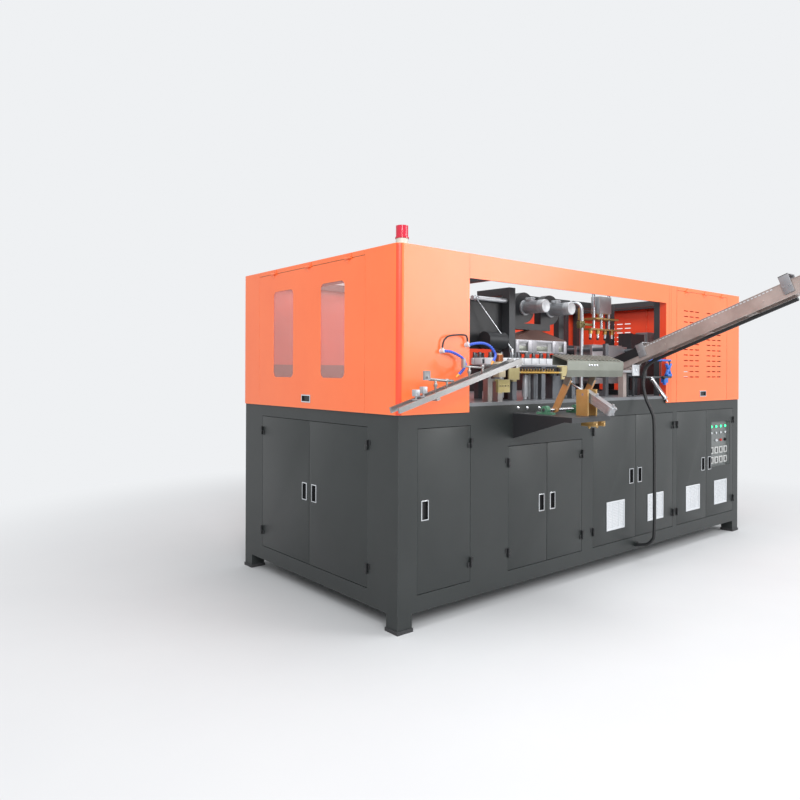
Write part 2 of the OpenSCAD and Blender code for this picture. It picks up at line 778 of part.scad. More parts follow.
module on_hatch_end() {
    placed() translate([out_x0, end_hatch_y0 + end_hatch_w, 0]) rotate([0, 0, -90]) children();
}
module window_shape(grow) {
    for (x = [window_in, end_hatch_w - window_in])
        translate([x - window_w / 2, 0, window_z]) rotate([90, 0, 0]) translate([-grow, -grow, 0])
            linear_extrude(100, center = true)
                rounded_rect(window_w + 2 * grow, window_h + 2 * grow, window_r + grow);
}
module end_hatch() {
    color("coral") on_hatch_end() difference() {
        hatch_shell(end_hatch_w);
        window_shape(0);
    }
}
pane_t = 4;
module end_hatch_windows() {
    color("gray", 0.6) on_hatch_end() intersection() {
        translate([0, hood_t, hood_z]) cube([end_hatch_w, pane_t, hood_top - hood_z]);
        window_shape(14);
    }
}
module front_hatch() {
    color("coral") on_front_hatch() difference() {
        hatch_shell(hatch_w);
        slot_field(hatch_w);
    }
}
beacon_x = 70;
beacon_y = 60;
module beacon_foot() {
    color("ivory") placed() translate([beacon_x, beacon_y, hood_top]) {
        cylinder(d = beacon_d, h = 10);
        translate([0, 0, 10]) cylinder(d = beacon_d - 8, h = beacon_h - 10);
    }
}
module beacon_dome() {
    color("red") placed() translate([beacon_x, beacon_y, hood_top + beacon_h]) rotate_extrude() {
        square([beacon_d / 2, 8]);
        translate([0, 8]) square([beacon_d / 2 - 4, dome_h - 20]);
        translate([0, dome_h - 24]) square([beacon_d / 2 - 16, 12]);
        intersection() {
            translate([beacon_d / 2 - 16, dome_h - 12 - 12]) circle(12);
            translate([0, dome_h - 30]) square([beacon_d, 40]);
        }
    }
}

// Inner gantry that carries the blowers and the blowing head
gantry_y = 500;
gantry_z = 1930;
gantry_w = 50;
gantry_post = 60;
gantry_x0 = oven_x - gap - gantry_post;
gantry_x1 = 2780;
middle_post_x = 2025;
pole_at = [2180, 400];
pole_d = 28;
pole_bend = 60;
side_plate_x = 842;
side_plate_t = 6;
tank_d = 112;
tank_z = 1619;
module inner_gantry() {
    post_back = oven_y + gantry_post;
    pole_z = gantry_z + gantry_w / 2;
    tank_y = post_back - tank_d / 2 - 4;
    color("dimgray") placed() {
        bar([gantry_x0, gantry_x0 + gantry_post], [oven_y, post_back], [table_z, gantry_z]);
        bar([gantry_x0, gantry_x0 + gantry_post], [oven_y, gantry_y], [gantry_z, gantry_z + gantry_w]);
        bar([gantry_x0, gantry_x1], [gantry_y, gantry_y + gantry_w],
            [gantry_z, gantry_z + gantry_w]);
        for (x = [middle_post_x, gantry_x1 - gantry_post])
            bar([x, x + gantry_post], [gantry_y, gantry_y + gantry_w], [table_z, gantry_z]);
        z_rod(pole_at[0], pole_at[1], [table_z, pole_z - pole_bend], pole_d);
        translate([pole_at[0], pole_at[1] + pole_bend, pole_z - pole_bend]) rotate([90, 0, 90])
            rotate([0, 0, 90]) rotate_extrude(angle = 90) translate([pole_bend, 0]) circle(d = pole_d);
        y_rod(pole_at[0], [pole_at[1] + pole_bend, gantry_y], pole_z, pole_d);
        bar([side_plate_x, gantry_x0 + gantry_post], [post_back, post_back + side_plate_t],
            [tank_z - tank_d / 2, gantry_z - gantry_w]);
        x_rod([side_plate_x, gantry_x0], oven_y + gantry_post / 2, gantry_z - 40, 30);
        x_rod([side_plate_x + 80, gantry_x0 - 66], tank_y, tank_z, tank_d);
        for (x = [side_plate_x + 110, gantry_x0 - 120])
            bar([x, x + 24], [tank_y, post_back], [tank_z - 12, tank_z + 12]);
    }
}

// Oven over the chain's rear run, open below and at both ends
module oven_walls() {
    color("lightgray") placed() difference() {
        bar([oven_x, oven_x + oven_l], [oven_y, oven_y + oven_w], [oven_z, oven_top]);
        bar([oven_x - 1, oven_x + oven_l + 1], [oven_y + oven_t, oven_y + oven_w - oven_t],
            [oven_z - 1, oven_top - oven_t]);
        for (i = [0 : 2], x = oven_x + (i + 0.5) * oven_l / 3)
            bar([x - oven_l / 8, x + oven_l / 8], [oven_y - 1, oven_y + oven_t / 2],
                [oven_z + oven_t, oven_top - 2 * oven_t]);
        bar([neck_x - neck_w / 2, neck_x + neck_w / 2],
            [scroll_y - neck_w / 2, oven_y + oven_w - 2 * oven_t],
            [oven_top - oven_t - 1, oven_top + 1]);
    }
}
lamp_tube_d = 10;
lamp_rows = 4;
module oven_lamps() {
    row = (oven_top - oven_z - oven_t) / (lamp_rows + 0.6);
    color("ivory") placed() for (i = [0 : lamp_rows - 1], z = [oven_z + (i + 0.8) * row])
        x_rod([oven_x + 10, oven_x + oven_l - 10], oven_y + oven_w - oven_t - lamp_tube_d / 2,
            z, lamp_tube_d);
}
neck_w = 110;
module exhaust_hood() {
    shell = 3;
    color("saddlebrown") placed() difference() {
        hull() {
            bar([oven_x, oven_x + oven_l], [oven_y, oven_y + oven_w], [oven_top, oven_top + 6]);
            bar([neck_x - neck_w / 2, neck_x + neck_w / 2],
                [scroll_y, scroll_y + scroll_w], [neck_z - 22, neck_z - 20]);
        }
        hull() {
            bar([oven_x + shell, oven_x + oven_l - shell], [oven_y + shell, oven_y + oven_w - shell],
                [oven_top - 1, oven_top + 3]);
            bar([neck_x - neck_w / 2 + shell, neck_x + neck_w / 2 - shell],
                [scroll_y + shell, scroll_y + scroll_w - shell], [neck_z - 24, neck_z - 19]);
        }
    }
}
scroll_y = gantry_y - 20 - scroll_w;
blower_xs = [blower_x, blower_x + blower_pitch];
manifold_h = 45;
module scroll_shape(inset, z0) {
    y = [scroll_y + inset, scroll_y + scroll_w - inset];
    for (x = blower_xs) {
        y_rod(x, y, blower_z, scroll_d - 2 * inset);
        bar([x - scroll_d / 2 + inset, x - inset], y, [z0 + manifold_h - 2 * inset, blower_z]);
    }
    bar([blower_xs[0] - scroll_d / 2 + inset, blower_xs[1] - inset], y, [z0, z0 + manifold_h - 2 * inset]);
}
module blower_scrolls() {
    wall = 4;
    color("black") placed() {
        difference() {
            scroll_shape(0, neck_z - 20);
            scroll_shape(wall, neck_z - 20 + wall);
            bar([neck_x - neck_w / 2 + wall, neck_x + neck_w / 2 - wall],
                [scroll_y + wall, scroll_y + scroll_w - wall], [neck_z - 21, neck_z]);
        }
        for (x = blower_xs)
            bar([x - 40, x + 40], [scroll_y + scroll_w, gantry_y], [gantry_z, gantry_z + 30]);
    }
}
module blower_motors() {
    cap_l = 42;
    fin = 4;
    color("silver") placed() for (x = blower_xs) {
        y_rod(x, [scroll_y - motor_l, scroll_y], blower_z, motor_d - 2 * fin);
        for (a = [0 : 30 : 330])
            translate([x, scroll_y - motor_l + cap_l, blower_z]) rotate([0, a, 0])
                translate([-1.5, 0, 0]) cube([3, motor_l - cap_l - 12, motor_d / 2 - 1]);
        y_rod(x, [scroll_y - motor_l - 12, scroll_y - motor_l + cap_l], blower_z, motor_d);
        y_rod(x, [scroll_y - 12, scroll_y], blower_z, motor_d + 16);
        bar([x - 26, x + 26], [scroll_y - 78, scroll_y - 30],
            [blower_z + motor_d / 2 - 12, blower_z + motor_d / 2 + 22]);
    }
}

// Preform chain on its two wheels
wheel_r = chain_pitch / 2 / sin(180 / wheel_n);
wheel_x1 = wheel_x + straight_n * chain_pitch;
chain_top = chain_z + link_h;
roller_d = 18;
link_l = chain_pitch - 9;
module chain_at() {
    a = 180 / wheel_n;
    for (k = [0 : straight_n - 1], x = wheel_x + (k + 0.5) * chain_pitch) {
        translate([x, wheel_y - wheel_r, 0]) children();
        translate([x, wheel_y + wheel_r, 0]) rotate(180) children();
    }
    for (k = [0 : wheel_n / 2 - 1]) {
        translate([wheel_x1, wheel_y, 0]) rotate((2 * k + 1) * a)
            translate([0, -wheel_r * cos(a), 0]) children();
        translate([wheel_x, wheel_y, 0]) rotate(180 + (2 * k + 1) * a)
            translate([0, -wheel_r * cos(a), 0]) children();
    }
}
// One link: outer plate, carrier plate, and spindle with a shoulder
carrier_t = 6;
module chain_link() {
    back = roller_d / 2 + 1;
    translate([-link_l / 2, -back - link_t, 0]) cube([link_l, link_t, link_h]);
    translate([-link_l / 2, -back, link_h - carrier_t]) cube([link_l, 2 * back, carrier_t]);
    cylinder(d = spindle_d, h = link_h - carrier_t);
    translate([0, 0, link_h]) {
        cylinder(d = spindle_d + 8, h = 8);
        translate([0, 0, 8]) cylinder(d = spindle_d, h = spindle_h - 14);
        translate([0, 0, spindle_h - 6]) cylinder(d1 = spindle_d, d2 = spindle_d - 8, h = 6);
    }
}
module preform_chain() {
    color("whitesmoke") placed() translate([0, 0, chain_z]) chain_at() chain_link();
}
deck_t = 12;
guide_h = 6;
guide_w = 20;
deck_z = chain_z - guide_h - deck_t;
housing_d = 80;
housing_h = 60;
deck_y0 = wheel_y - wheel_r - 12;
deck_y1 = oven_y + oven_w;
deck_x0 = wheel_x - wheel_r - 20;
deck_x1 = wheel_x1 + wheel_r + 20;
column_w = 40;
end_plate_w = 100;
end_plate_y = deck_y0 - 19;
module conveyor_frame() {
    clear = 6;
    oven_foot = 130;
    knee = 70;
    color("khaki") placed() difference() {
        union() {
            bar([deck_x0, deck_x1], [deck_y0, deck_y1], [deck_z, deck_z + deck_t]);
            for (x = [wheel_x, wheel_x1])
                z_rod(x, wheel_y, [deck_z - housing_h, deck_z], housing_d);
        }
        for (x = [wheel_x, wheel_x1])
            z_rod(x, wheel_y, [deck_z - housing_h + 8, deck_z + deck_t + 1],
                wheel_shaft_d + 2 * run_gap);
        bar([gantry_x0 - clear, gantry_x0 + gantry_post + clear],
            [oven_y - clear, oven_y + gantry_post + clear], [deck_z - 1, deck_z + deck_t + 1]);
    }
    color("khaki") placed() {
        for (y = [wheel_y - wheel_r, wheel_y + wheel_r])
            bar([wheel_x, wheel_x1], [y - guide_w / 2, y + guide_w / 2], [deck_z + deck_t, chain_z]);
        for (x = [wheel_x, wheel_x1]) difference() {
            z_rod(x, wheel_y, [deck_z + deck_t, chain_z], 2 * wheel_r + guide_w);
            z_rod(x, wheel_y, [deck_z + deck_t - 1, chain_z + 1], 2 * wheel_r - 1.6 * guide_w);
        }
        for (x = [deck_x0 + 30, deck_x0 + 200, wheel_x1 - 260, deck_x1 - 70],
            y = [deck_y0 + 10, deck_y1 - column_w])
            bar([x, x + column_w], [y, y + column_w], [table_z, deck_z - gap]);
        for (x = [wheel_x - 10, wheel_x1 - 80]) {
            bar([x, x + end_plate_w], [end_plate_y, end_plate_y + 10], [deck_z - 84, deck_z]);
            bar([x, x + end_plate_w], [end_plate_y + 10, deck_y0 + 8], [deck_z - 8, deck_z]);
        }
        x_rod([wheel_x - 10 + end_plate_w, wheel_x1 - 80], end_plate_y + 5, deck_z - 38, 14);
        for (x = [oven_x, oven_x + oven_l - 20])
            bar([x, x + 20], [deck_y1 - oven_t, deck_y1], [deck_z + deck_t + gap, oven_z]);
        for (x = [oven_x, oven_x + oven_foot])
            bar([x, x + 20], [oven_y, oven_y + oven_t], [deck_z + deck_t + gap, oven_z]);
        bar([wheel_x1 - knee, wheel_x1 + knee], [wheel_y - knee, wheel_y + knee],
            [table_z, deck_z - housing_h - gap]);
        z_rod(oven_x + 75, deck_y0 + 30, [table_z, deck_z - 50], 46);
        z_rod(oven_x + 75, deck_y0 + 30, [deck_z - 50, deck_z - gap], 16);
    }
}
// A chain wheel's teeth end just inside the spindles' line.
module chain_wheel() {
    tip = wheel_r * cos(180 / wheel_n) - spindle_d / 2 - 1;
    face_z = chain_z + guide_h;
    color("silver") placed() translate([0, wheel_y, 0]) {
        difference() {
            translate([0, 0, face_z]) cylinder(r = tip, h = wheel_t);
            for (i = [0 : wheel_n - 1]) rotate((2 * i + 1) * 180 / wheel_n)
                translate([0, -tip - 4, chain_z]) cylinder(d = spindle_d + 10, h = link_h);
            for (i = [0 : 4]) rotate(i * 72)
                translate([tip * 0.58, 0, chain_z]) cylinder(d = tip * 0.34, h = link_h);
        }
        translate([0, 0, deck_z + deck_t + gap])
            cylinder(d = 2 * wheel_shaft_d, h = face_z - deck_z - deck_t - gap);
        translate([0, 0, deck_z - housing_h + 12])
            cylinder(d = wheel_shaft_d, h = chain_top + 2 - deck_z + housing_h - 12);
        translate([0, 0, face_z + wheel_t]) cylinder(d = 60, h = 10);
    }
}
module idler_wheel() {
    translate([wheel_x, 0, 0]) chain_wheel();
}
module drive_wheel() {
    translate([wheel_x1, 0, 0]) chain_wheel();
}

// Mould clamp
platen_t = 20;
platen_out = 40;
tie_in = 20;
tie_z = [mould_z + 40, mould_z + mould_h - 40];
clamp_y0 = mould_y - mould_w - platen_t - mould_travel - 25;
clamp_y1 = mould_y + mould_w + platen_t + mould_travel + 25;
end_t = 25;
ram_d = 50;
module tie_holes(y, grow) {
    for (x = [-1, 1], z = tie_z)
        y_rod(mould_x + x * (mould_l / 2 + tie_in), y, z, tie_d + 2 * grow);
}
module clamp_frame() {
    x0 = mould_x - mould_l / 2 - platen_out;
    x1 = mould_x + mould_l / 2 + platen_out;
    ram_z = mould_z + mould_h / 2;
    color("lightgray") placed() {
        tie_holes([clamp_y0 - end_t, clamp_y1 + end_t], 0);
        difference() {
            bar([x0, x1], [clamp_y1, clamp_y1 + end_t], [table_z, mould_z + mould_h]);
            tie_holes([clamp_y1 - 1, clamp_y1 + end_t + 1], 0.01);
            y_rod(mould_x, [clamp_y1 - 1, clamp_y1 + end_t + 1], ram_z, ram_d + 2 * run_gap);
        }
        difference() {
            y_rod(mould_x, [clamp_y1 + end_t + gap, clamp_y1 + end_t + 190], ram_z, 150);
            y_rod(mould_x, [clamp_y1, clamp_y1 + end_t + 150], ram_z, ram_d + 2 * run_gap);
        }
        for (x = [x0, x1 - 2 * tie_in]) difference() {
            bar([x, x + 2 * tie_in], [clamp_y0 - end_t, clamp_y0], [table_z, mould_z + mould_h]);
            tie_holes([clamp_y0 - end_t, clamp_y0 + 1], 0.01);
        }
        for (x = [x0, x1 - 2 * tie_in])
            bar([x, x + 2 * tie_in], [clamp_y0 + gap, clamp_y1 - gap],
                [table_z, table_z + 40]);
    }
}
module bottle() {
    neck = 15;
    shoulder = mould_h - 70;
    rotate_extrude() polygon([[0, 20], [bottle_d / 2 - 6, 20], [bottle_d / 2, 28],
        [bottle_d / 2, 90], [bottle_d / 2 - 4, 100], [bottle_d / 2 - 4, 140], [bottle_d / 2, 150],
        [bottle_d / 2, shoulder], [neck, mould_h - 22], [neck, mould_h + 1], [0, mould_h + 1]]);
}
module each_cavity(z) {
    for (i = [0 : cavities - 1])
        translate([mould_x + (i - (cavities - 1) / 2) * cavity_pitch, mould_y, z]) children();
}
module mould_half(side) {
    face = mould_y + side * gap / 2;
    back = mould_y + side * mould_w;
    far = back + side * platen_t;
    color("silver") placed() {
        difference() {
            bar([mould_x - mould_l / 2, mould_x + mould_l / 2], [min(face, back), max(face, back)],
                [mould_z, mould_z + mould_h]);
            each_cavity(mould_z) bottle();
        }
        difference() {
            bar([mould_x - mould_l / 2 - platen_out, mould_x + mould_l / 2 + platen_out],
                [min(back, far), max(back, far)], [mould_z - 20, mould_z + mould_h - 10]);
            tie_holes([min(back, far) - 1, max(back, far) + 1], run_gap);
        }
    }
}
module mould_front() {
    mould_half(-1);
}
module mould_rear() {
    mould_half(1);
    color("silver") placed()
        y_rod(mould_x, [mould_y + mould_w + platen_t, clamp_y1 + 60], mould_z + mould_h / 2, ram_d);
}

// Blowing head over the mould
nozzle_l = 77;
nozzle_z = mould_z + mould_h + head_travel + nozzle_l + 4;
head_z = nozzle_z + 84;
head_t = 12;
head_w = 310;
head_d = 120;
block_w = 160;
block_z = head_z + 51;
block_h = 134;
guide_in = 105;
head_rod_d = 25;
module head_support() {
    x0 = mould_x - head_w / 2;
    x1 = mould_x + head_w / 2;
    y0 = mould_y - head_d / 2;
    color("khaki") placed() {
        difference() {
            bar([x0, x1], [y0, gantry_y + head_t], [head_z, head_z + head_t]);
            for (x = [-guide_in, guide_in])
                z_rod(mould_x + x, mould_y, [head_z - 1, head_z + head_t + 1],
                    guide_d + 2 * run_gap);
            z_rod(mould_x, mould_y, [head_z - 1, head_z + head_t + 1], head_rod_d + 2);
        }
        for (x = [x0, x1 - 40])
            bar([x, x + 40], [gantry_y, gantry_y + head_t], [head_z + head_t, gantry_z]);
        for (x = [-60, 60], y = [-28, 28])
            z_rod(mould_x + x, mould_y + y, [head_z + head_t, block_z], 14);
        difference() {
            bar([mould_x - block_w / 2, mould_x + block_w / 2], [mould_y - 40, mould_y + 40],
                [block_z, block_z + block_h]);
            z_rod(mould_x, mould_y, [block_z - 1, block_z + block_h - 20],
                head_rod_d + 2 * run_gap);
        }
    }
}
module blowing_head() {
    color("khaki") placed() {
        difference() {
            bar([mould_x - mould_l / 2, mould_x + mould_l / 2], [mould_y - 50, mould_y + 50],
                [nozzle_z, nozzle_z + head_t]);
            for (x = [-guide_in, guide_in])
                z_rod(mould_x + x, mould_y, [nozzle_z - 1, nozzle_z + head_t + 1], guide_d);
        }
        for (x = [mould_x - guide_in, mould_x + guide_in])
            z_rod(x, mould_y, [nozzle_z, block_z + block_h + 24], guide_d);
        z_rod(mould_x, mould_y, [nozzle_z + head_t, block_z + 60], head_rod_d);
        each_cavity(nozzle_z) rotate([180, 0, 0]) {
            cylinder(d = 34, h = 30);
            translate([0, 0, 30]) cylinder(d = 24, h = 30);
            translate([0, 0, 60]) cylinder(d1 = 24, d2 = 16, h = nozzle_l - 60);
        }
    }
}
module transfer_drive() {
    w = 90;
    fin = 10;
    plate = 20;
    body_l = 194;
    seat = 1628;
    foot = seat - 38;
    x0 = mould_x + mould_l / 2 + platen_out + 35;
    x1 = x0 + plate + body_l;
    y0 = mould_y - w;
    color("gray") placed() {
        bar([x0, x0 + plate], [y0 - fin, y0 + w + plate], [foot, seat + w + 17]);
        bar([x0 + plate, x1], [y0, y0 + w], [seat, seat + w + 12]);
        for (i = [0 : 8])
            bar([x1 + (2 * i + 3) * fin, x1 + (2 * i + 4) * fin], [y0 - fin, y0 + w + fin],
                [seat + 17, seat + w + 34]);
        bar([x1, x1 + 206], [y0 + 5, y0 + w - 5], [seat + 27, seat + w + 22]);
        bar([x0 + plate, x1 + 186], [y0, y0 + w], [table_z, seat]);
        bar([x0, x0 + plate], [y0, y0 + w], [table_z, foot]);
    }
}

// Take-out shelf in front of the cabinet
shelf_left = 917;
shelf_out = 500;
shelf_plan = [[shelf_left, 0], [shelf_left - 80, -shelf_out], [1210, -shelf_out], [1400, -300],
    [1400, 0]];
skirt_back = 157;
skirt_front = 30;
skirt_a = atan2(80, shelf_out);
skirt_l = norm([80, shelf_out]);
module take_out_shelf() {
    color("dimgray") placed() {
        translate([0, 0, shelf_z - shelf_t]) linear_extrude(shelf_t) polygon(shelf_plan);
        translate([shelf_left, 0, shelf_z]) rotate([0, 0, -skirt_a]) rotate([90, 0, 90])
            linear_extrude(shelf_t) polygon([[-skirt_l, -shelf_t], [-skirt_l, -skirt_front],
                [-skirt_l + 60, -skirt_front], [-shelf_t * 0.2, -skirt_back],
                [-shelf_t * 0.2, -shelf_t]]);
        bar([shelf_left - 74, 1208], [-shelf_out, -shelf_out + shelf_t],
            [shelf_z - skirt_front, shelf_z - shelf_t]);
        bar([1400 - shelf_t, 1400], [-296, 0], [shelf_z - skirt_front, shelf_z - shelf_t]);
    }
}
swing_z = shelf_z + swing_h;
lever_x = [1072, 1319];
bearing_x = [986, 1280];
bearing_w = 30;
module shaft_bearings() {
    color("seagreen") placed() for (x = bearing_x) difference() {
        union() {
            bar([x - bearing_w / 2, x + bearing_w / 2], [-swing_y - 60, -swing_y + 60],
                [shelf_z, shelf_z + 12]);
            x_rod([x - bearing_w / 2, x + bearing_w / 2], -swing_y, swing_z, 48);
        }
        x_rod([x - bearing_w / 2 - 1, x + bearing_w / 2 + 1], -swing_y, swing_z,
            swing_shaft_d + 2 * run_gap);
        for (y = [-45, 45])
            z_rod(x, -swing_y + y, [shelf_z - 1, shelf_z + 13], 11);
    }
}
module swing_shaft() {
    color("silver") placed() x_rod([bearing_x[0] - 24, lever_x[1] + lever_t + 12], -swing_y, swing_z,
        swing_shaft_d);
}
module on_lever(x) {
    placed() translate([x, -swing_y, swing_z]) rotate([lever_lean, 0, 0]) children();
}
module swing_levers() {
    color("peru") for (x = lever_x) on_lever(x) difference() {
        union() {
            translate([0, -lever_w / 2, 0]) cube([lever_t, lever_w, lever_l - 22]);
            rotate([0, 90, 0]) cylinder(d = lever_w, h = lever_t);
        }
        translate([-1, 0, 0]) rotate([0, 90, 0])
            cylinder(d = swing_shaft_d + 0.1, h = lever_t + 2);
        translate([-1, 0, crank_r]) rotate([0, 90, 0]) cylinder(d = 12, h = lever_t + 2);
    }
}
lever_top = [-swing_y - sin(lever_lean) * lever_l, swing_z + cos(lever_lean) * lever_l];
tray_x = 990;
tray_floor = 1380;
tray_pts = [[-lever_w, 0], [-lever_w - 8, 40], [-lever_w - 8, 96], [lever_w + 22, 132],
    [lever_w + 22, 70]];
module take_out_tray() {
    color("silver") placed() translate([tray_x, lever_top[0], lever_top[1] - 6]) {
        rotate([90, 0, 90]) difference() {
            linear_extrude(tray_l) folded(tray_pts, -tray_t);
            for (i = [0 : 10]) translate([-lever_w + 4, 100, (i + 0.8) * tray_l / 12])
                cube([2 * lever_w, 30, tray_l / 45]);
        }
        for (x = lever_x) translate([x - tray_x, 0, 0]) {
            translate([-12, -lever_w, 0]) cube([lever_t + 24, 2 * lever_w, 5]);
        }
    }
    color("silver") for (x = lever_x) on_lever(x)
        translate([-5, -lever_w / 2, lever_l - 60]) cube([5, lever_w, 68]);
}

// Air cylinder between its cheeks, aimed at the joint on the first lever
joint_at = [-swing_y - sin(lever_lean) * crank_r, swing_z + cos(lever_lean) * crank_r];
trunnion_at = [-trunnion_y, shelf_z + trunnion_h];
aim = joint_at - trunnion_at;
aim_a = atan2(aim[1], aim[0]);
aim_l = norm(aim);
eye_t = 18;
eye_x = lever_x[0] + lever_t + 2.5 + eye_t / 2;
cheek_t = 12;
cheek_in = cyl_w / 2 + 10;
module on_cylinder() {
    placed() translate([eye_x, trunnion_at[0], trunnion_at[1]]) rotate([aim_a, 0, 0]) children();
}
module cylinder_cheeks() {
    color("goldenrod") placed() difference() {
        union() for (s = [-1, 1], x = eye_x + s * (cheek_in + cheek_t / 2))
            bar([x - cheek_t / 2, x + cheek_t / 2], [-trunnion_y - 36, -trunnion_y + 44],
                [shelf_z, shelf_z + trunnion_h + 30]);
        x_rod([eye_x - 100, eye_x + 100], trunnion_at[0], trunnion_at[1],
            trunnion_d + 2 * run_gap);
    }
    color("goldenrod") placed() for (s = [-1, 1])
        bar([eye_x + s * (cheek_in + cheek_t / 2) - 20, eye_x + s * (cheek_in + cheek_t / 2) + 20],
            [-trunnion_y - 30, -trunnion_y + 38], [shelf_z - shelf_t - 14, shelf_z - shelf_t]);
}
rod_bore = 175;
module swing_cylinder() {
    color("lightgray") on_cylinder() {
        difference() {
            union() {
                translate([-cyl_w / 2, -cyl_back, -cyl_w / 2])
                    cube([cyl_w, cyl_back + cyl_front, cyl_w]);
                translate([-cheek_in - cheek_t, 0, 0]) rotate([0, 90, 0])
                    cylinder(d = trunnion_d, h = 2 * (cheek_in + cheek_t));
            }
            translate([0, -rod_bore, 0]) rotate([-90, 0, 0])
                cylinder(d = rod_d + 2 * run_gap, h = rod_bore + cyl_front + 1);
            for (x = [-cyl_w / 2 - 1, cyl_w / 2 - 4], z = [-12, 7])
                translate([x, -cyl_back + 25, z]) cube([5, cyl_back - 50, 5]);
        }
    }
}
module cylinder_rod() {
    color("silver") on_cylinder() {
        translate([0, 10 - rod_bore + 12, 0]) rotate([-90, 0, 0])
            cylinder(d = rod_d, h = rod_bore - 22 + aim_l - 10);
        difference() {
            translate([-eye_t / 2, aim_l, 0]) rotate([0, 90, 0]) cylinder(d = 28, h = eye_t);
            translate([-eye_t / 2 - 1, aim_l, 0]) rotate([0, 90, 0])
                cylinder(d = 12, h = eye_t + 2);
        }
    }
}

// Outlet rails sloping down past the hood's left corner
rails_at = [800, -100, 1494];
rail_post_x = [735, 824];
rail_post_h = 125;
block_holes = 4;
module on_rails() {
    placed() translate(rails_at) rotate([0, -rail_slope, 0]) children();
}
module outlet_rails() {
    post = 40;
    foot_x = rails_at[0] - 33;
    cross_t = 12;
    cross_y = post + post / 2 + 30;
    block = [106, post / 2, 79];
    block_at = [rail_post_x[1] - 18, post / 2, table_z + 56];
    hole_d = 12;
    color("gainsboro") {
        on_rails() {
            for (i = [0, 1]) translate([-rail_l, -i * rail_pitch - rail_t / 2, -rail_h])
                cube([rail_l, rail_t, rail_h]);
            translate([-70, -rail_pitch - rail_t, -rail_h - cross_t])
                cube([50, cross_y - rails_at[1] + rail_pitch + rail_t, cross_t]);
            translate([-720, -rail_pitch - rail_t, -rail_h - cross_t])
                cube([24, rail_pitch + rail_t + out_y0 - rails_at[1], cross_t]);
        }
        placed() {
            for (x = rail_post_x)
                bar([x, x + post], [post, 2 * post], [table_z, table_z + rail_post_h]);
            bar([rail_post_x[0], rail_post_x[1] + post], [post, 2 * post],
                [table_z + rail_post_h, table_z + rail_post_h + 15]);
            z_rod(foot_x, 1.5 * post, [table_z + rail_post_h, rails_at[2] - 48], 20);
            difference() {
                translate(block_at) cube(block);
                for (i = [0 : block_holes - 1])
                    y_rod(block_at[0] + 16 + i * 25, [post / 2 - 1, post + 1],
                        block_at[2] + block[2] / 2, hole_d);
            }
        }
    }
}

// A smooth line through chosen points, and a round tube swept along it
function between(a, b, c, d, t) = 0.5 * (2 * b + (c - a) * t + (2 * a - 5 * b + 4 * c - d) * t * t
    + (3 * b - a - 3 * c + d) * t * t * t);
function smooth(p, n) = let (e = len(p) - 1) concat([for (i = [0 : e - 1], k = [0 : n - 1])
    between(p[max(i - 1, 0)], p[i], p[i + 1], p[min(i + 2, e)], k / n)], [p[e]]);
function ring(c, t, side, r, n) = let (v = unit(cross(side, t)), w = cross(t, v))
    [for (k = [0 : n - 1]) c + r * (cos(360 * k / n) * v + sin(360 * k / n) * w)];
module tube(p, side, d, n) {
    e = len(p) - 1;
    points = [for (i = [0 : e], q = ring(p[i], unit(p[min(i + 1, e)] - p[max(i - 1, 0)]), side,
        d / 2, n)) q];
    walls = [for (i = [0 : e - 1], k = [0 : n - 1]) let (a = i * n + k, b = i * n + (k + 1) % n)
        each [[a, a + n, b + n], [a, b + n, b]]];
    ends = [[for (k = [0 : n - 1]) k], [for (k = [n - 1 : -1 : 0]) e * n + k]];
    polyhedron(points, concat(walls, ends));
}

// Jointed air hoses that blow along the rails, each fed from a fitting on the hood
hose_y = -45;
hose_d = 17;
hose_boss = 30;
bead_l = 16;
hose_a = [[292, hose_y, 1527], [386, hose_y, 1511], [442, hose_y - 15, 1457],
    [357, hose_y - 45, 1395]];
hose_b = [[488, hose_y, 1567], [609, hose_y, 1578], [692, hose_y - 10, 1524],
    [642, hose_y - 40, 1471]];
module beads(p) {
    for (i = [0 : len(p) - 2]) {
        v = p[i + 1] - p[i];
        n = round(norm(v) / bead_l);
        h = norm(v) / n;
        translate(p[i]) rotate([0, acos(v[2] / norm(v)), atan2(v[1], v[0])])
            for (k = [0 : n - 1]) translate([0, 0, k * h]) {
                cylinder(d1 = hose_d - 5, d2 = hose_d, h = h * 0.7);
                translate([0, 0, h * 0.7]) cylinder(d = hose_d - 5, h = h * 0.3);
            }
    }
}
module air_nozzles() {
    color("royalblue") placed() for (p = [hose_a, hose_b]) {
        beads(p);
        translate(p[0]) sphere(d = hose_d);
        for (i = [1 : len(p) - 2]) translate(p[i]) sphere(d = hose_d - 2);
        y_rod(p[0][0], [hose_y, out_y0], p[0][2], hose_d + 5);
        z_rod(p[0][0], -hose_boss, [p[0][2], p[0][2] + 18], hose_d - 3);
        v = p[3] - p[2];
        translate(p[3]) rotate([0, acos(v[2] / norm(v)), atan2(v[1], v[0])])
            cylinder(d1 = hose_d - 2, d2 = 7, h = 30);
    }
}
tube_d = 10;
tube_path = [[292, -30, 1545.2], [292, -30, 1550], [292, -30, 1556], [300, -33, 1586],
    [322, -38, 1608], [352, -42, 1616], [400, -44, 1621], [452, -40, 1622], [472, -36, 1617],
    [483, -32, 1606], [488, -30, 1592], [488, -30, 1588], [488, -30, 1585.2]];
module air_tube() {
    color("black") placed() tube(smooth(tube_path, 3), [0, 1, 0], tube_d, 10);
}

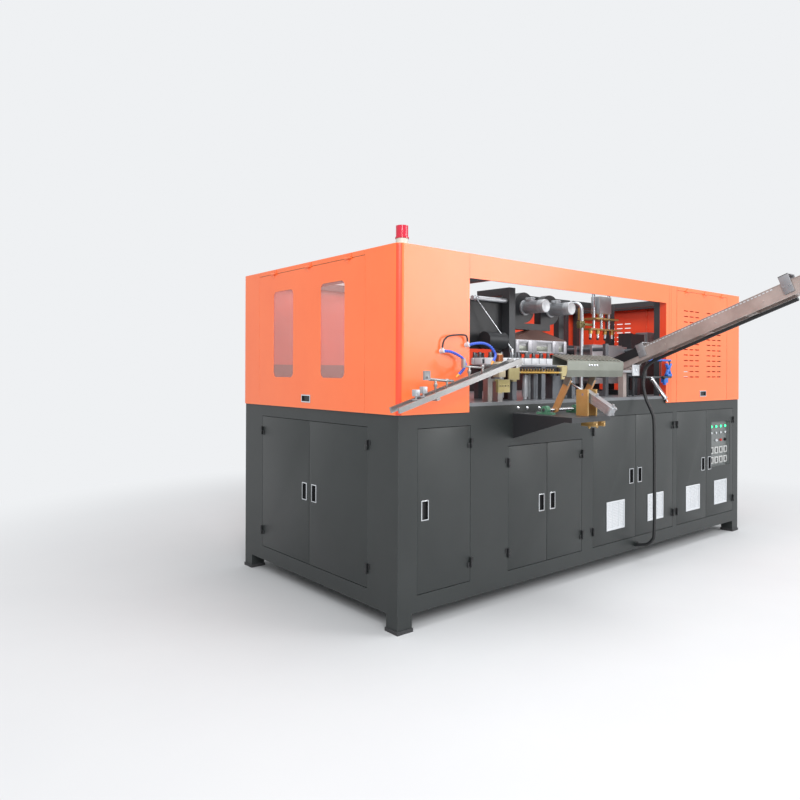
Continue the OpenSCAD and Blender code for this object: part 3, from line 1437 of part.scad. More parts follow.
// Feed chute
chute_at = [131, 1516];
module on_chute() {
    placed() translate([chute_x, chute_at[0], chute_at[1]]) rotate([-chute_slope, 0, 0]) children();
}
neck_rail_w = 12;
neck_rail_z = -30;
chute_ties = 5;
chute_post = 42;
module feed_chute() {
    root = 1;
    saddle = 26;
    saddle_y = chute_at[0] - chute_post - 25;
    half = chute_w / 2;
    under = chute_at[1] + (chute_at[0] - saddle_y) * tan(chute_slope) - chute_h / cos(chute_slope);
    color("silver") {
        on_chute() {
            for (s = [-1, 1]) {
                translate([s * (half - chute_t / 2) - chute_t / 2, -chute_l, -chute_h])
                    cube([chute_t, chute_l, chute_h]);
                translate([s * (half - chute_t - neck_rail_w / 2 + root / 2) - (neck_rail_w + root) / 2,
                    root - chute_l, neck_rail_z - 8]) cube([neck_rail_w + root, chute_l - 2 * root, 8]);
            }
            for (i = [0 : chute_ties - 1])
                translate([root - half, -(i + 0.15) * chute_l / (chute_ties - 0.6) - 60,
                    root - chute_h - chute_t]) cube([chute_w - 2 * root, 60, chute_t]);
            translate([-chute_post / 2 - 5, -chute_post - 45, -chute_h - saddle])
                cube([chute_post + 10, 60, saddle - chute_t + 2 * root]);
        }
        placed() bar([chute_x - chute_post / 2, chute_x + chute_post / 2],
            [saddle_y, saddle_y + chute_post], [table_z, under - 8]);
    }
}
cover_l = 205;
cover_h = 56;
cover_wall = 5;
module chute_cover() {
    lid = 8;
    color("black") on_chute() difference() {
        translate([-chute_w / 2 - cover_wall, -cover_l, -cover_h])
            cube([chute_w + 2 * cover_wall, cover_l, cover_h + lid]);
        translate([-chute_w / 2, -cover_l - 1, -cover_h - 1])
            cube([chute_w, cover_l + 2, cover_h + 1]);
    }
}

// Corrugated conduit from the chute down to a gland on the lower front rail
conduit_x = 2294;
conduit_in = 135;
gland = 15;
conduit_path = concat([[2262, -1130, 1871], [2262, -900, 1784], [2262, -650, 1688],
    [2264, -400, 1593], [2270, -230, 1528], [2280, -135, 1488], [2290, -80, 1440]],
    [for (q = [[-64, 1370], [-62, 1310], [-84, 1220], [-124, 1140], [-148, 1070], [-153, 900],
        [-155, 700], [-155, 500], [-155, 245], [-140, 190], [-100, 150], [-45, conduit_in],
        [-30, conduit_in], [-gland - gap / 2, conduit_in]]) [conduit_x, q[0], q[1]]]);
module conduit() {
    color("black") placed() tube(smooth(conduit_path, 3), [1, 0, 0], conduit_d, 10);
}

base_frame();
base_panels();
foot_pads();
machine_table();
hinge_halves();
front_door();
low_door_left();
low_door_right();
middle_door_left();
middle_door_right();
right_door_left();
right_door_right();
end_door_front();
end_door_rear();
control_plate();
panel_meters();
panel_lamps();
start_button();
stop_button();
mode_selector();
hood_frame();
hood_corners();
hood_fascia();
hood_end_wall();
hood_rear_panels();
end_hatch();
end_hatch_windows();
front_hatch();
beacon_foot();
beacon_dome();
inner_gantry();
oven_walls();
oven_lamps();
exhaust_hood();
blower_scrolls();
blower_motors();
conveyor_frame();
preform_chain();
drive_wheel();
idler_wheel();
clamp_frame();
mould_front();
mould_rear();
head_support();
blowing_head();
transfer_drive();
take_out_shelf();
shaft_bearings();
swing_shaft();
swing_levers();
take_out_tray();
cylinder_cheeks();
swing_cylinder();
cylinder_rod();
outlet_rails();
air_nozzles();
feed_chute();
chute_cover();
conduit();
air_tube();
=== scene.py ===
# %% [markdown]
# # A blow moulding machine, dressed for its picture
# The imported model holds the machine as solids that a workshop could cut: doors, hood, oven,
# chain, mould. This lesson gives them their paint and metal, and adds the thin work that
# solids leave out, such as louvres, hose rings and cable glands.
# Every number is in metres. The machine's own drawing starts at the cabinet's near left corner,
# so one short helper turns a place on that drawing, in millimetres, into a place in the scene.

# %% Load the frame
import math
import bmesh
import bpy
from mathutils import Matrix, Vector


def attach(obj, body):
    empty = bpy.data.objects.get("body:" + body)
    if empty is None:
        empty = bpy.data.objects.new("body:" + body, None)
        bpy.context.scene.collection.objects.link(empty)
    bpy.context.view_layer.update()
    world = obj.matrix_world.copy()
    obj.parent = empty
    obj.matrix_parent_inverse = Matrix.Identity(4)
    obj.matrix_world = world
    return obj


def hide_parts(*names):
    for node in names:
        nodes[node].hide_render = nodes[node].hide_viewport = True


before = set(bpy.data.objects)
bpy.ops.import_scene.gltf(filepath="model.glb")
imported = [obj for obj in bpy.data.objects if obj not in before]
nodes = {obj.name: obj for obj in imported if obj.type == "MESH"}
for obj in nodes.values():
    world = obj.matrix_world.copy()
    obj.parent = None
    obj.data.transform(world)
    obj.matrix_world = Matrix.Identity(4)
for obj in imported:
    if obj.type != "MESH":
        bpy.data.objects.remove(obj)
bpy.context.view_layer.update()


def on_machine(x, y, z):
    """A place on the machine's drawing, in millimetres, as a place in the scene."""
    return Vector(((x - 1980) / 1000, (y - 875) / 1000, z / 1000))


# %% [markdown]
# ## Camera
# A picture is taken from eye height, off the left front corner, so both the long front and the
# end show. The lens is a moderate wide one, and the film is shifted down a little instead
# of tilting the camera, which keeps every post of the machine upright.

# %% Set the camera
yaw, pitch, roll = math.radians(39.60), math.radians(0.03), math.radians(0.228)
ahead = Vector((math.sin(yaw) * math.cos(pitch), math.cos(yaw) * math.cos(pitch), math.sin(pitch)))
side = Vector((math.cos(yaw), -math.sin(yaw), 0))
up = side.cross(ahead)
right = side * math.cos(roll) + up * math.sin(roll)
top = up * math.cos(roll) - side * math.sin(roll)
lens = bpy.data.cameras.new("lens")
lens.lens, lens.sensor_width, lens.shift_y = 30.91, 36, -0.0354
camera = bpy.data.objects.new("camera", lens)
bpy.context.scene.collection.objects.link(camera)
turn = Matrix((right, top, -ahead)).transposed().to_4x4()
camera.matrix_world = Matrix.Translation(on_machine(-2330.75, -2829.01, 1409.03)) @ turn
bpy.context.scene.camera = camera
print("camera at", [round(c, 3) for c in camera.location])

# %% [markdown]
# ## Shared effects
# Paint on a machine is never one flat colour. Four effects are built once as node groups and
# used in many finishes: a slow mottle, the fine peel of sprayed paint, the drawn-out lines of
# brushed metal, and a lighter rim on corners, partly rubbed paint and partly painted highlight.
# Each group gives masks and heights only, so every material can decide what to do with them.

# %% Start a node group
def effect(name, inputs, outputs):
    group = bpy.data.node_groups.new(name, "ShaderNodeTree")
    for label, value in inputs:
        kind = "NodeSocketVector" if value is None else "NodeSocketFloat"
        socket = group.interface.new_socket(label, in_out="INPUT", socket_type=kind)
        if value is not None:
            socket.default_value = value
    for label in outputs:
        group.interface.new_socket(label, in_out="OUTPUT", socket_type="NodeSocketFloat")
    return group, group.nodes.new("NodeGroupInput"), group.nodes.new("NodeGroupOutput")


def math_step(group, kind, first, second, clamp=False):
    """One Math node; each side is a socket or a number."""
    step = group.nodes.new("ShaderNodeMath")
    step.operation, step.use_clamp = kind, clamp
    for place, value in enumerate((first, second)):
        if isinstance(value, (int, float)):
            step.inputs[place].default_value = value
        else:
            group.links.new(value, step.inputs[place])
    return step.outputs[0]


def noise(group, enter, detail, roughness, scale=None):
    """A noise on the vector that comes in, at its own scale or at the one that comes in."""
    grain = group.nodes.new("ShaderNodeTexNoise")
    grain.inputs["Detail"].default_value = detail
    grain.inputs["Roughness"].default_value = roughness
    group.links.new(enter.outputs["Vector"], grain.inputs["Vector"])
    if scale is None:
        group.links.new(enter.outputs["Scale"], grain.inputs["Scale"])
    else:
        grain.inputs["Scale"].default_value = scale
    return grain.outputs["Fac"]


# %% Mottle: slow, cloudy change of shade
mottle, enter, leave = effect("mottle", [("Vector", None), ("Scale", 3.0), ("Contrast", 1.5)], ["Mask"])
centred = math_step(mottle, "SUBTRACT", noise(mottle, enter, 5, 0.62), 0.5)
spread = math_step(mottle, "MULTIPLY", centred, enter.outputs["Contrast"])
mottle.links.new(math_step(mottle, "ADD", spread, 0.5, clamp=True), leave.inputs["Mask"])

# %% Peel: the fine ripple of sprayed or powder paint
peel, enter, leave = effect("peel", [("Vector", None), ("Scale", 260.0)], ["Height"])
peel.links.new(noise(peel, enter, 2, 0.5), leave.inputs["Height"])

# %% Brushing: long thin lines, drawn along X, Y or Z by the stretch that comes in
brushing, enter, leave = effect("brushing", [("Vector", None), ("Scale", 40.0)], ["Lines"])
brushing.links.new(noise(brushing, enter, 4, 0.7), leave.inputs["Lines"])

# %% Corners: a lighter rim in broken patches, partly rubbed paint and partly painted highlight
edge_wear_and_highlight, enter, leave = effect("edge_wear_and_highlight", [("Vector", None), ("Radius", 0.004), ("Amount", 1.0)], ["Mask"])
rounded = edge_wear_and_highlight.nodes.new("ShaderNodeBevel")
rounded.samples = 4
edge_wear_and_highlight.links.new(enter.outputs["Radius"], rounded.inputs["Radius"])
flat = edge_wear_and_highlight.nodes.new("ShaderNodeNewGeometry")
facing = edge_wear_and_highlight.nodes.new("ShaderNodeVectorMath")
facing.operation = "DOT_PRODUCT"
edge_wear_and_highlight.links.new(rounded.outputs["Normal"], facing.inputs[0])
edge_wear_and_highlight.links.new(flat.outputs["Normal"], facing.inputs[1])
turned = math_step(edge_wear_and_highlight, "SUBTRACT", 1.0, facing.outputs["Value"])
sharp = math_step(edge_wear_and_highlight, "MULTIPLY", turned, 6.0)
broken = noise(edge_wear_and_highlight, enter, 4, 0.5, scale=24)
patches = math_step(edge_wear_and_highlight, "MULTIPLY", math_step(edge_wear_and_highlight, "SUBTRACT", broken, 0.36), 3.0)
worn_and_lit = math_step(edge_wear_and_highlight, "MULTIPLY", sharp, patches)
edge_wear_and_highlight.links.new(math_step(edge_wear_and_highlight, "MULTIPLY", worn_and_lit, enter.outputs["Amount"], clamp=True), leave.inputs["Mask"])
print("shared effects:", len(bpy.data.node_groups))

# %% [markdown]
# ## Finishes
# One recipe mixes every opaque finish: two close shades of the same colour are blended by the
# mottle, the corners turn to a lighter shade that is partly rubbed paint and partly painted
# highlight, and a fine height gives the surface its tooth.
# Colours are written as the eye reads them on a screen, and the helper turns them into the
# linear values that the shader needs.

# %% Colour helper and the opaque finish
def shade(code):
    parts = [int(code[i:i + 2], 16) / 255 for i in (0, 2, 4)]
    return [p / 12.92 if p <= 0.04045 else ((p + 0.055) / 1.055) ** 2.4 for p in parts] + [1.0]


def add_group(tree, group, place, stretch, **values):
    step = tree.nodes.new("ShaderNodeGroup")
    step.node_tree = group
    for label, value in values.items():
        step.inputs[label].default_value = value
    if stretch is not None:
        mapping = tree.nodes.new("ShaderNodeMapping")
        mapping.inputs["Scale"].default_value = stretch
        tree.links.new(place, mapping.inputs["Vector"])
        place = mapping.outputs["Vector"]
    tree.links.new(place, step.inputs["Vector"])
    return step.outputs[0]


def blend_colour(tree, mask, first, second):
    mix = tree.nodes.new("ShaderNodeMix")
    mix.data_type = "RGBA"
    tree.links.new(mask, mix.inputs["Factor"])
    colour_a = [s for s in mix.inputs if s.name == "A" and s.type == "RGBA"][0]
    colour_b = [s for s in mix.inputs if s.name == "B" and s.type == "RGBA"][0]
    for socket, value in ((colour_a, first), (colour_b, second)):
        if isinstance(value, list):
            socket.default_value = value
        else:
            tree.links.new(value, socket)
    return [s for s in mix.outputs if s.type == "RGBA"][0]


def spread_value(tree, mask, low, high):
    span = tree.nodes.new("ShaderNodeMapRange")
    span.inputs["To Min"].default_value = low
    span.inputs["To Max"].default_value = high
    tree.links.new(mask, span.inputs["Value"])
    return span.outputs["Result"]


def inside_box(tree, place, low, high):
    """1 inside a box on the machine's drawing, 0 outside it."""
    parts = tree.nodes.new("ShaderNodeSeparateXYZ")
    tree.links.new(place, parts.inputs[0])
    low, high = on_machine(*low), on_machine(*high)
    mask = None
    for axis in range(3):
        middle, half = (low[axis] + high[axis]) / 2, abs(high[axis] - low[axis]) / 2
        away = math_step(tree, "ABSOLUTE", math_step(tree, "SUBTRACT", parts.outputs[axis], middle), 0)
        near = math_step(tree, "LESS_THAN", away, half)
        mask = near if mask is None else math_step(tree, "MULTIPLY", mask, near)
    return mask


def new_material(name):
    """A fresh material, its tree, its main shader, and each point's place on its own piece."""
    material = bpy.data.materials.new(name)
    material.use_nodes = True
    tree = material.node_tree
    place = tree.nodes.new("ShaderNodeTexCoord").outputs["Object"]
    return material, tree, tree.nodes["Principled BSDF"], place


def finish(name, colour, second, wear_and_highlight_colour, metal=0.0, rough=(0.4, 0.55), tooth=260.0, depth=0.15,
           clouds=3.0, stretch=None, wear_and_highlight_amount=0.8, coat=0.0, zones=()):
    material, tree, shader, place = new_material(name)
    cloud_mask = add_group(tree, mottle, place, None, Scale=clouds, Contrast=2.2)
    tone = blend_colour(tree, cloud_mask, shade(colour), shade(second))
    plated = None
    for low, high, zone_light, zone_dark, zone_metal in zones:
        here = inside_box(tree, place, low, high)
        zone_tone = blend_colour(tree, cloud_mask, shade(zone_light), shade(zone_dark))
        tone = blend_colour(tree, here, tone, zone_tone)
        change = math_step(tree, "MULTIPLY", here, zone_metal - metal)
        plated = math_step(tree, "ADD", change, metal if plated is None else plated)
    # Corners turn lighter: partly rubbed paint, partly a painted highlight along the edges.
    if wear_and_highlight_amount > 0:
        corner = add_group(tree, edge_wear_and_highlight, place, None, Radius=0.003, Amount=wear_and_highlight_amount)
        tone = blend_colour(tree, corner, tone, shade(wear_and_highlight_colour))
    tree.links.new(tone, shader.inputs["Base Color"])
    if stretch is None:
        fine = add_group(tree, peel, place, None, Scale=tooth)
    else:
        fine = add_group(tree, brushing, place, stretch, Scale=tooth)
    tree.links.new(spread_value(tree, fine, *rough), shader.inputs["Roughness"])
    bump = tree.nodes.new("ShaderNodeBump")
    bump.inputs["Strength"].default_value = depth
    bump.inputs["Distance"].default_value = 0.001
    tree.links.new(fine, bump.inputs["Height"])
    tree.links.new(bump.outputs["Normal"], shader.inputs["Normal"])
    shader.inputs["Metallic"].default_value = metal
    if plated is not None:
        tree.links.new(plated, shader.inputs["Metallic"])
    if coat:
        shader.inputs["Coat Weight"].default_value = coat
        shader.inputs["Coat Roughness"].default_value = 0.15
    return material


def wear(piece, material):
    piece.data.materials.clear()
    piece.data.materials.append(material)


# %% [markdown]
# The cabinet is charcoal powder paint with a leathery tooth, and the hood is a glossier orange
# sprayed on smooth sheet. The frame inside the hood is a duller grey of the same kind.

# %% Painted sheet
charcoal = finish("charcoal_paint", "2B2F2F", "242828", "4C5253", rough=(0.34, 0.5), tooth=420, depth=0.22)
# Inside the hood the orange turns a deeper red: painted shade.
inside_painted_shade, inside_painted_shadow, orange_pair = ("F0502F", "E4462A"), ("2A2C2E", "212325"), ("FF7A41", "FA733B")
# On the orange the lighter corner shade is a painted highlight along the edges.
orange = finish("orange_paint", *orange_pair, "FFAE88", rough=(0.28, 0.4), tooth=300, depth=0.06,
                wear_and_highlight_amount=0.5, coat=0.2, zones=[
                    ((-12.6, -12.6, 1170), (3973, 1762.6, 2096), *inside_painted_shade, 0.0),
                    # The lower inside of the rear panels is charcoal: a painted shadow of the machinery in
                    # front of it.
                    ((40, 1500, 1170), (3940, 1763.4, 1462), *inside_painted_shadow, 0.0)])
frame_grey = finish("frame_paint", "3B3D40", "2F3134", "5E6165", rough=(0.4, 0.55), depth=0.15)
pad_grey = finish("pad_rubber", "3A3A3C", "2E2E30", "55565A", rough=(0.6, 0.8), tooth=180, depth=0.3)
scroll_black = finish("scroll_paint", "26272A", "1C1D20", "4A4B4F", rough=(0.35, 0.5))
hinge_black = finish("hinge_black", "1B1C1E", "121315", "3E3F42", rough=(0.3, 0.45), tooth=500,
                     zones=[((-60, -60, 1200), (4020, 1800, 2110), *orange_pair, 0.0)])
motor_grey = finish("motor_paint", "9A9DA1", "8B8E92", "C2C5C9", rough=(0.35, 0.5), clouds=9)
green_cast = finish("bearing_green", "568C70", "477A60", "A4BCAC", rough=(0.4, 0.6), tooth=150, depth=0.3)
print("painted finishes ready")

# %% [markdown]
# The working parts are bare or plated metal. Ground plates show lines along their length, so
# the noise is stretched; turned shafts are nearly mirrors; the oven's exhaust is dull sheet that
# heat has browned; zinc plating has a straw tint.

# %% Metals
tray_steel = finish("tray_steel", "888B83", "73766D", "BCBFB6", metal=0.6, rough=(0.26, 0.42), tooth=26,
                    stretch=(1, 12, 12), depth=0.06, clouds=5)
chute_steel = finish("chute_steel", "C4B8B3", "9C8E88", "E2DAD6", metal=0.45, rough=(0.26, 0.44), tooth=26,
                     stretch=(12, 1, 12), depth=0.06, clouds=5)
table_steel = finish("table_steel", "7E8185", "6A6D71", "A6A9AD", metal=0.5, rough=(0.3, 0.5), tooth=22,
                     stretch=(1, 10, 10), depth=0.08, clouds=2)
oven_steel = finish("oven_steel", "A2A2A4", "8C8C90", "C8C8CA", metal=0.55, rough=(0.35, 0.55), clouds=7)
exhaust_brown = finish("exhaust_brown", "5A3A30", "472C25", "80604F", metal=0.2, rough=(0.4, 0.6), clouds=6)
gold_plate = finish("gold_plate", "C4A066", "AB864E", "E0C794", metal=0.45, rough=(0.28, 0.45), clouds=12)
chrome = finish("chrome", "DADCDF", "CDD0D4", "F0F1F2", metal=1.0, rough=(0.06, 0.14), tooth=90, depth=0.02,
                wear_and_highlight_amount=0)
shaft_steel = finish("shaft_steel", "C6C9CD", "B4B7BB", "E2E4E6", metal=1.0, rough=(0.12, 0.24), tooth=60,
                     stretch=(1, 20, 20), depth=0.03)
mould_alu = finish("mould_aluminium", "B2B4B7", "9EA0A4", "D6D8DA", metal=0.7, rough=(0.22, 0.38), tooth=35,
                   stretch=(1, 1, 12), depth=0.06)
clamp_steel = finish("clamp_steel", "6C6F74", "55585D", "9A9DA2", metal=0.6, rough=(0.3, 0.46), clouds=5)
amber = finish("lever_amber", "CF9864", "BA834D", "E4C09A", metal=0.25, rough=(0.25, 0.4), clouds=12)
shelf_dark = finish("shelf_paint", "2F3033", "27282A", "5E6064", rough=(0.32, 0.46))
white_plastic = finish("white_plastic", "D4D7DB", "C7CBD0", "EEF0F2", rough=(0.3, 0.45), tooth=200, depth=0.08,
                       wear_and_highlight_amount=0)
meter_white = finish("meter_white", "B9BBBA", "AEB0AF", "DDDEDD", rough=(0.25, 0.35), clouds=20, wear_and_highlight_amount=0)
plate_grey = finish("plate_grey", "707474", "666A6A", "989C9C", rough=(0.35, 0.5), tooth=350, depth=0.1)
black_plastic = finish("black_plastic", "1E1F21", "161719", "3A3B3E", rough=(0.35, 0.5), tooth=300)
red_plastic = finish("red_plastic", "C8372C", "B52D24", "E0665A", rough=(0.22, 0.32), clouds=20, wear_and_highlight_amount=0)
hose_blue = finish("hose_blue", "3C62D4", "3154BE", "6C8AE4", rough=(0.25, 0.35), clouds=20, wear_and_highlight_amount=0)
pipe_blue = finish("pipe_blue", "2F74D8", "2764BE", "6FA0E8", rough=(0.25, 0.35), clouds=20, wear_and_highlight_amount=0)
ivory = finish("beacon_ivory", "E4DFD2", "D8D2C4", "EEE9DA", rough=(0.35, 0.5), clouds=12, wear_and_highlight_amount=0)
print("finishes:", len(bpy.data.materials))

# %% [markdown]
# Four finishes let light through or give it off: the hood's windows, the oven's lamp tubes, the
# beacon's dome and the panel's little green lamps. The windows let some light straight through
# and are tinted for the rest, so the parts behind them stay readable, and the tubes and the dome bend part of
# it.

# %% Windows, dome and lamps
def clear_sheet(name, tint, transmit, rough, seen_through=1.0):
    material, tree, shader, place = new_material(name)
    haze = add_group(tree, mottle, place, None, Scale=9, Contrast=2.0)
    tree.links.new(blend_colour(tree, haze, shade(tint), [c * 0.94 for c in shade(tint)[:3]] + [1.0]),
                   shader.inputs["Base Color"])
    tree.links.new(spread_value(tree, haze, rough, rough + 0.05), shader.inputs["Roughness"])
    shader.inputs["Transmission Weight"].default_value = transmit
    shader.inputs["IOR"].default_value = 1.45
    shader.inputs["Alpha"].default_value = seen_through
    return material


window_clear = clear_sheet("window_clear", "EFB3AC", 0.0, 0.04, seen_through=0.3)
lamp_glass = clear_sheet("lamp_glass", "E9EEF0", 0.8, 0.05)
dome_red = clear_sheet("dome_red", "E2304A", 0.25, 0.12)
lamp_green = finish("lamp_green", "55C46A", "45B45C", "8BE09A", rough=(0.15, 0.25), clouds=60, wear_and_highlight_amount=0)
lit = lamp_green.node_tree.nodes["Principled BSDF"]
lit.inputs["Emission Color"].default_value = shade("19E08A")
lit.inputs["Emission Strength"].default_value = 3.2

# %% [markdown]
# ## Which solid wears which finish
# The finish is put in the solid's own material slot. A table keeps it readable: the finish on
# the left, the solids that wear it on the right.

# %% Dress the solids
wardrobe = [
    (charcoal, "base_frame base_panels front_door low_door_left low_door_right middle_door_left "
               "middle_door_right right_door_left right_door_right end_door_front end_door_rear"),
    (pad_grey, "foot_pads"), (table_steel, "machine_table"), (hinge_black, "hinge_halves"),
    (plate_grey, "control_plate"), (meter_white, "panel_meters"), (lamp_green, "panel_lamps"),
    (white_plastic, "start_button"), (red_plastic, "stop_button"), (black_plastic, "mode_selector"),
    (frame_grey, "hood_frame"),
    (orange, "hood_corners hood_fascia hood_end_wall hood_rear_panels end_hatch front_hatch"),
    (window_clear, "end_hatch_windows"), (ivory, "beacon_foot"), (dome_red, "beacon_dome"),
    (oven_steel, "oven_walls"), (lamp_glass, "oven_lamps"), (exhaust_brown, "exhaust_hood"),
    (scroll_black, "blower_scrolls"), (motor_grey, "blower_motors"),
    (white_plastic, "preform_chain"), (shaft_steel, "drive_wheel idler_wheel"),
    (clamp_steel, "clamp_frame"), (mould_alu, "mould_front mould_rear"),
    (shelf_dark, "take_out_shelf"), (green_cast, "shaft_bearings"),
    (shaft_steel, "swing_shaft cylinder_rod"), (amber, "swing_levers"),
    (tray_steel, "take_out_tray"), (chute_steel, "feed_chute"),
    (gold_plate, "cylinder_cheeks"),
    (mould_alu, "swing_cylinder"), (hose_blue, "air_nozzles"), (black_plastic, "chute_cover"),
]
dressed = 0
for material, names in wardrobe:
    for name in names.split():
        wear(nodes[name], material)
        dressed += 1
print("solids dressed:", dressed, "of", len(nodes))

# %% [markdown]
# ## Tools for new pieces
# A new piece begins as a primitive at its size and place. These helpers add it, turn it
# into world place, round its edges and hand it over: it gets a finish and a body to ride on.

# %% Begin, round and hand over
def nothing_selected():
    if bpy.context.mode != "OBJECT":
        bpy.ops.object.mode_set(mode="OBJECT")
    bpy.ops.object.select_all(action="DESELECT")


def only(piece):
    """Makes one piece the selected and the active one."""
    nothing_selected()
    piece.select_set(True)
    bpy.context.view_layer.objects.active = piece


def edit_all(piece):
    """Opens one piece in edit mode with all of it selected."""
    only(piece)
    bpy.ops.object.mode_set(mode="EDIT")
    bpy.ops.mesh.select_all(action="SELECT")


def face_outwards(piece):
    edit_all(piece)
    bpy.ops.mesh.normals_make_consistent(inside=False)
    bpy.ops.object.mode_set(mode="OBJECT")
    return piece


def tilt(piece, angle, axis, centre):
    """Turns a piece about an axis through a point, in the scene's metres."""
    edit_all(piece)
    bpy.ops.transform.rotate(value=angle, orient_axis=axis, center_override=centre)
    bpy.ops.object.mode_set(mode="OBJECT")
    return piece


def settle(piece):
    """The piece's place goes into its mesh, and its object to the origin."""
    only(piece)
    bpy.ops.object.transform_apply(location=True, rotation=True, scale=True)
    return piece


def soften(piece, width, segments=2):
    edge = piece.modifiers.new("round", "BEVEL")
    edge.width, edge.segments, edge.limit_method = width, segments, "ANGLE"
    bpy.context.view_layer.objects.active = piece
    bpy.ops.object.modifier_apply(modifier="round")
    return piece


def slab(name, low, high, edge=1.0):
    """A block between two corners on the drawing, in millimetres, with its edges rounded."""
    low, high = on_machine(*low), on_machine(*high)
    nothing_selected()
    bpy.ops.mesh.primitive_cube_add(size=1, location=(low + high) / 2)
    piece = bpy.context.active_object
    piece.name = name
    piece.scale = [abs(h - l) for l, h in zip(low, high)]
    settle(piece)
    return soften(piece, edge / 1000) if edge else piece


def rod(name, start, end, radius, sides=20, edge=0.0):
    """A round bar from one point on the drawing to another."""
    start, end = on_machine(*start), on_machine(*end)
    nothing_selected()
    bpy.ops.mesh.primitive_cylinder_add(vertices=sides, radius=radius / 1000, depth=(end - start).length,
                                        location=(start + end) / 2)
    piece = bpy.context.active_object
    piece.name = name
    piece.rotation_mode = "QUATERNION"
    piece.rotation_quaternion = (end - start).to_track_quat("Z", "Y")
    settle(piece)
    return soften(piece, edge / 1000) if edge else piece


def as_one(name, parts):
    nothing_selected()
    for part in parts:
        part.select_set(True)
    bpy.context.view_layer.objects.active = parts[0]
    bpy.ops.object.join()
    parts[0].name = name
    return parts[0]


def hand_over(piece, material, body="machine"):
    settle(piece)
    bpy.ops.object.shade_smooth_by_angle(angle=math.radians(35))
    wear(piece, material)
    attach(piece, body)
    return piece


def carry(piece, carrier):
    """carrier takes a piece from the place where it was drawn to its place in the scene."""
    settle(piece)
    piece.data.transform(carrier)
    if carrier.determinant() < 0:
        face_outwards(piece)
    return piece


def fit(name, parts, material, body="machine", carrier=None):
    """Joins parts into one piece, carries it where it was drawn elsewhere, and hands it over."""
    piece = as_one(name, parts)
    if carrier is not None:
        carry(piece, carrier)
    return hand_over(piece, material, body)


# %% [markdown]
# ## Cords
# Two cords hang on the machine: the corrugated conduit that brings the cables down from the
# feed chute to a gland on the cabinet's lower rail, and one thin air tube between the two hose
# fittings. Each follows the route of its solid, a smooth curve through a few chosen points. The
# conduit is ribbed, so it is swept as a row of rings whose radius goes up and down.

# %% Smooth a route through its points
def smooth_route(points, steps):
    ends = [points[0], *points, points[-1]]
    route = []
    for i in range(len(points) - 1):
        a, b, c, d = (Vector(p) for p in ends[i:i + 4])
        for k in range(steps):
            t = k / steps
            route.append(((2 * b) + (c - a) * t + (2 * a - 5 * b + 4 * c - d) * t ** 2
                          + (3 * b - a - 3 * c + d) * t ** 3) / 2)
    return route + [Vector(points[-1])]


# %% Sweep rings along a route
def sweep(name, route, radii, sides):
    mesh = bmesh.new()
    ahead_before = (route[1] - route[0]).normalized()
    across = ahead_before.orthogonal().normalized()
    rings = []
    for i, point in enumerate(route):
        run = (route[min(i + 1, len(route) - 1)] - route[max(i - 1, 0)]).normalized()
        across = (ahead_before.rotation_difference(run) @ across).normalized()
        ahead_before = run
        other = run.cross(across)
        turn_at = [2 * math.pi * k / sides for k in range(sides)]
        rings.append([mesh.verts.new(point + radii[i] * (math.cos(t) * across + math.sin(t) * other))
                      for t in turn_at])
    for near, far in zip(rings, rings[1:]):
        for k in range(sides):
            mesh.faces.new((near[k], near[(k + 1) % sides], far[(k + 1) % sides], far[k]))
    mesh.faces.new(rings[0][::-1])
    mesh.faces.new(rings[-1])
    piece = bpy.data.objects.new(name, bpy.data.meshes.new(name))
    mesh.to_mesh(piece.data)
    mesh.free()
    bpy.context.scene.collection.objects.link(piece)
    return face_outwards(piece)


# %% Conduit
conduit_points = [(2262, -1130, 1871), (2262, -900, 1784), (2262, -650, 1688), (2264, -400, 1593),
                  (2270, -230, 1528), (2280, -135, 1488), (2290, -80, 1440), (2294, -64, 1370),
                  (2294, -62, 1310), (2294, -84, 1220), (2294, -124, 1140), (2294, -148, 1070),
                  (2294, -153, 900), (2294, -155, 700), (2294, -155, 500), (2294, -155, 245),
                  (2294, -140, 190), (2294, -100, 150), (2294, -45, 135), (2294, -30, 135),
                  (2294, -15.15, 135)]
conduit_route = smooth_route([on_machine(*p) for p in conduit_points], 3)


def even_steps(route, gap):
    """Points a fixed gap apart along a route."""
    out, left = [route[0]], gap
    for p, q in zip(route, route[1:]):
        run, at = (q - p).length, 0.0
        while run - at >= left:
            at += left
            out.append(p + (q - p) * (at / run))
            left = gap
        left -= run - at
    if (out[-1] - route[-1]).length > gap / 2:
        out.append(route[-1])
    else:
        out[-1] = route[-1]
    return out


rib_route = even_steps(conduit_route, 0.0024)
rib_radii = [0.013 if i % 4 in (1, 2) else 0.0116 for i in range(len(rib_route))]
conduit = sweep("conduit_ribbed", rib_route, rib_radii, 14)
conduit_black = finish("conduit_black", "1D1E20", "151618", "34353A", rough=(0.35, 0.5), tooth=300,
                       wear_and_highlight_amount=0)
hand_over(conduit, conduit_black)
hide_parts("conduit")
gland_nut = rod("gland_nut", (2294, -15, 135), (2294, -25, 135), 19, 6, edge=1.2)
gland_ring = rod("gland_ring", (2294, -24, 135), (2294, -30, 135), 16, 28, edge=1.2)
fit("conduit_gland", [gland_nut, gland_ring], conduit_black)

# %% Air tube
tube_points = [(292, -30, 1545.2), (292, -30, 1550), (292, -30, 1556), (300, -33, 1586), (322, -38, 1608),
               (352, -42, 1616), (400, -44, 1621), (452, -40, 1622), (472, -36, 1617), (483, -32, 1606),
               (488, -30, 1592), (488, -30, 1588), (488, -30, 1585.2)]
tube_route = smooth_route([on_machine(*p) for p in tube_points], 6)
air_tube = sweep("air_tube_run", tube_route, [0.005] * len(tube_route), 14)
hand_over(air_tube, black_plastic)
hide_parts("air_tube")

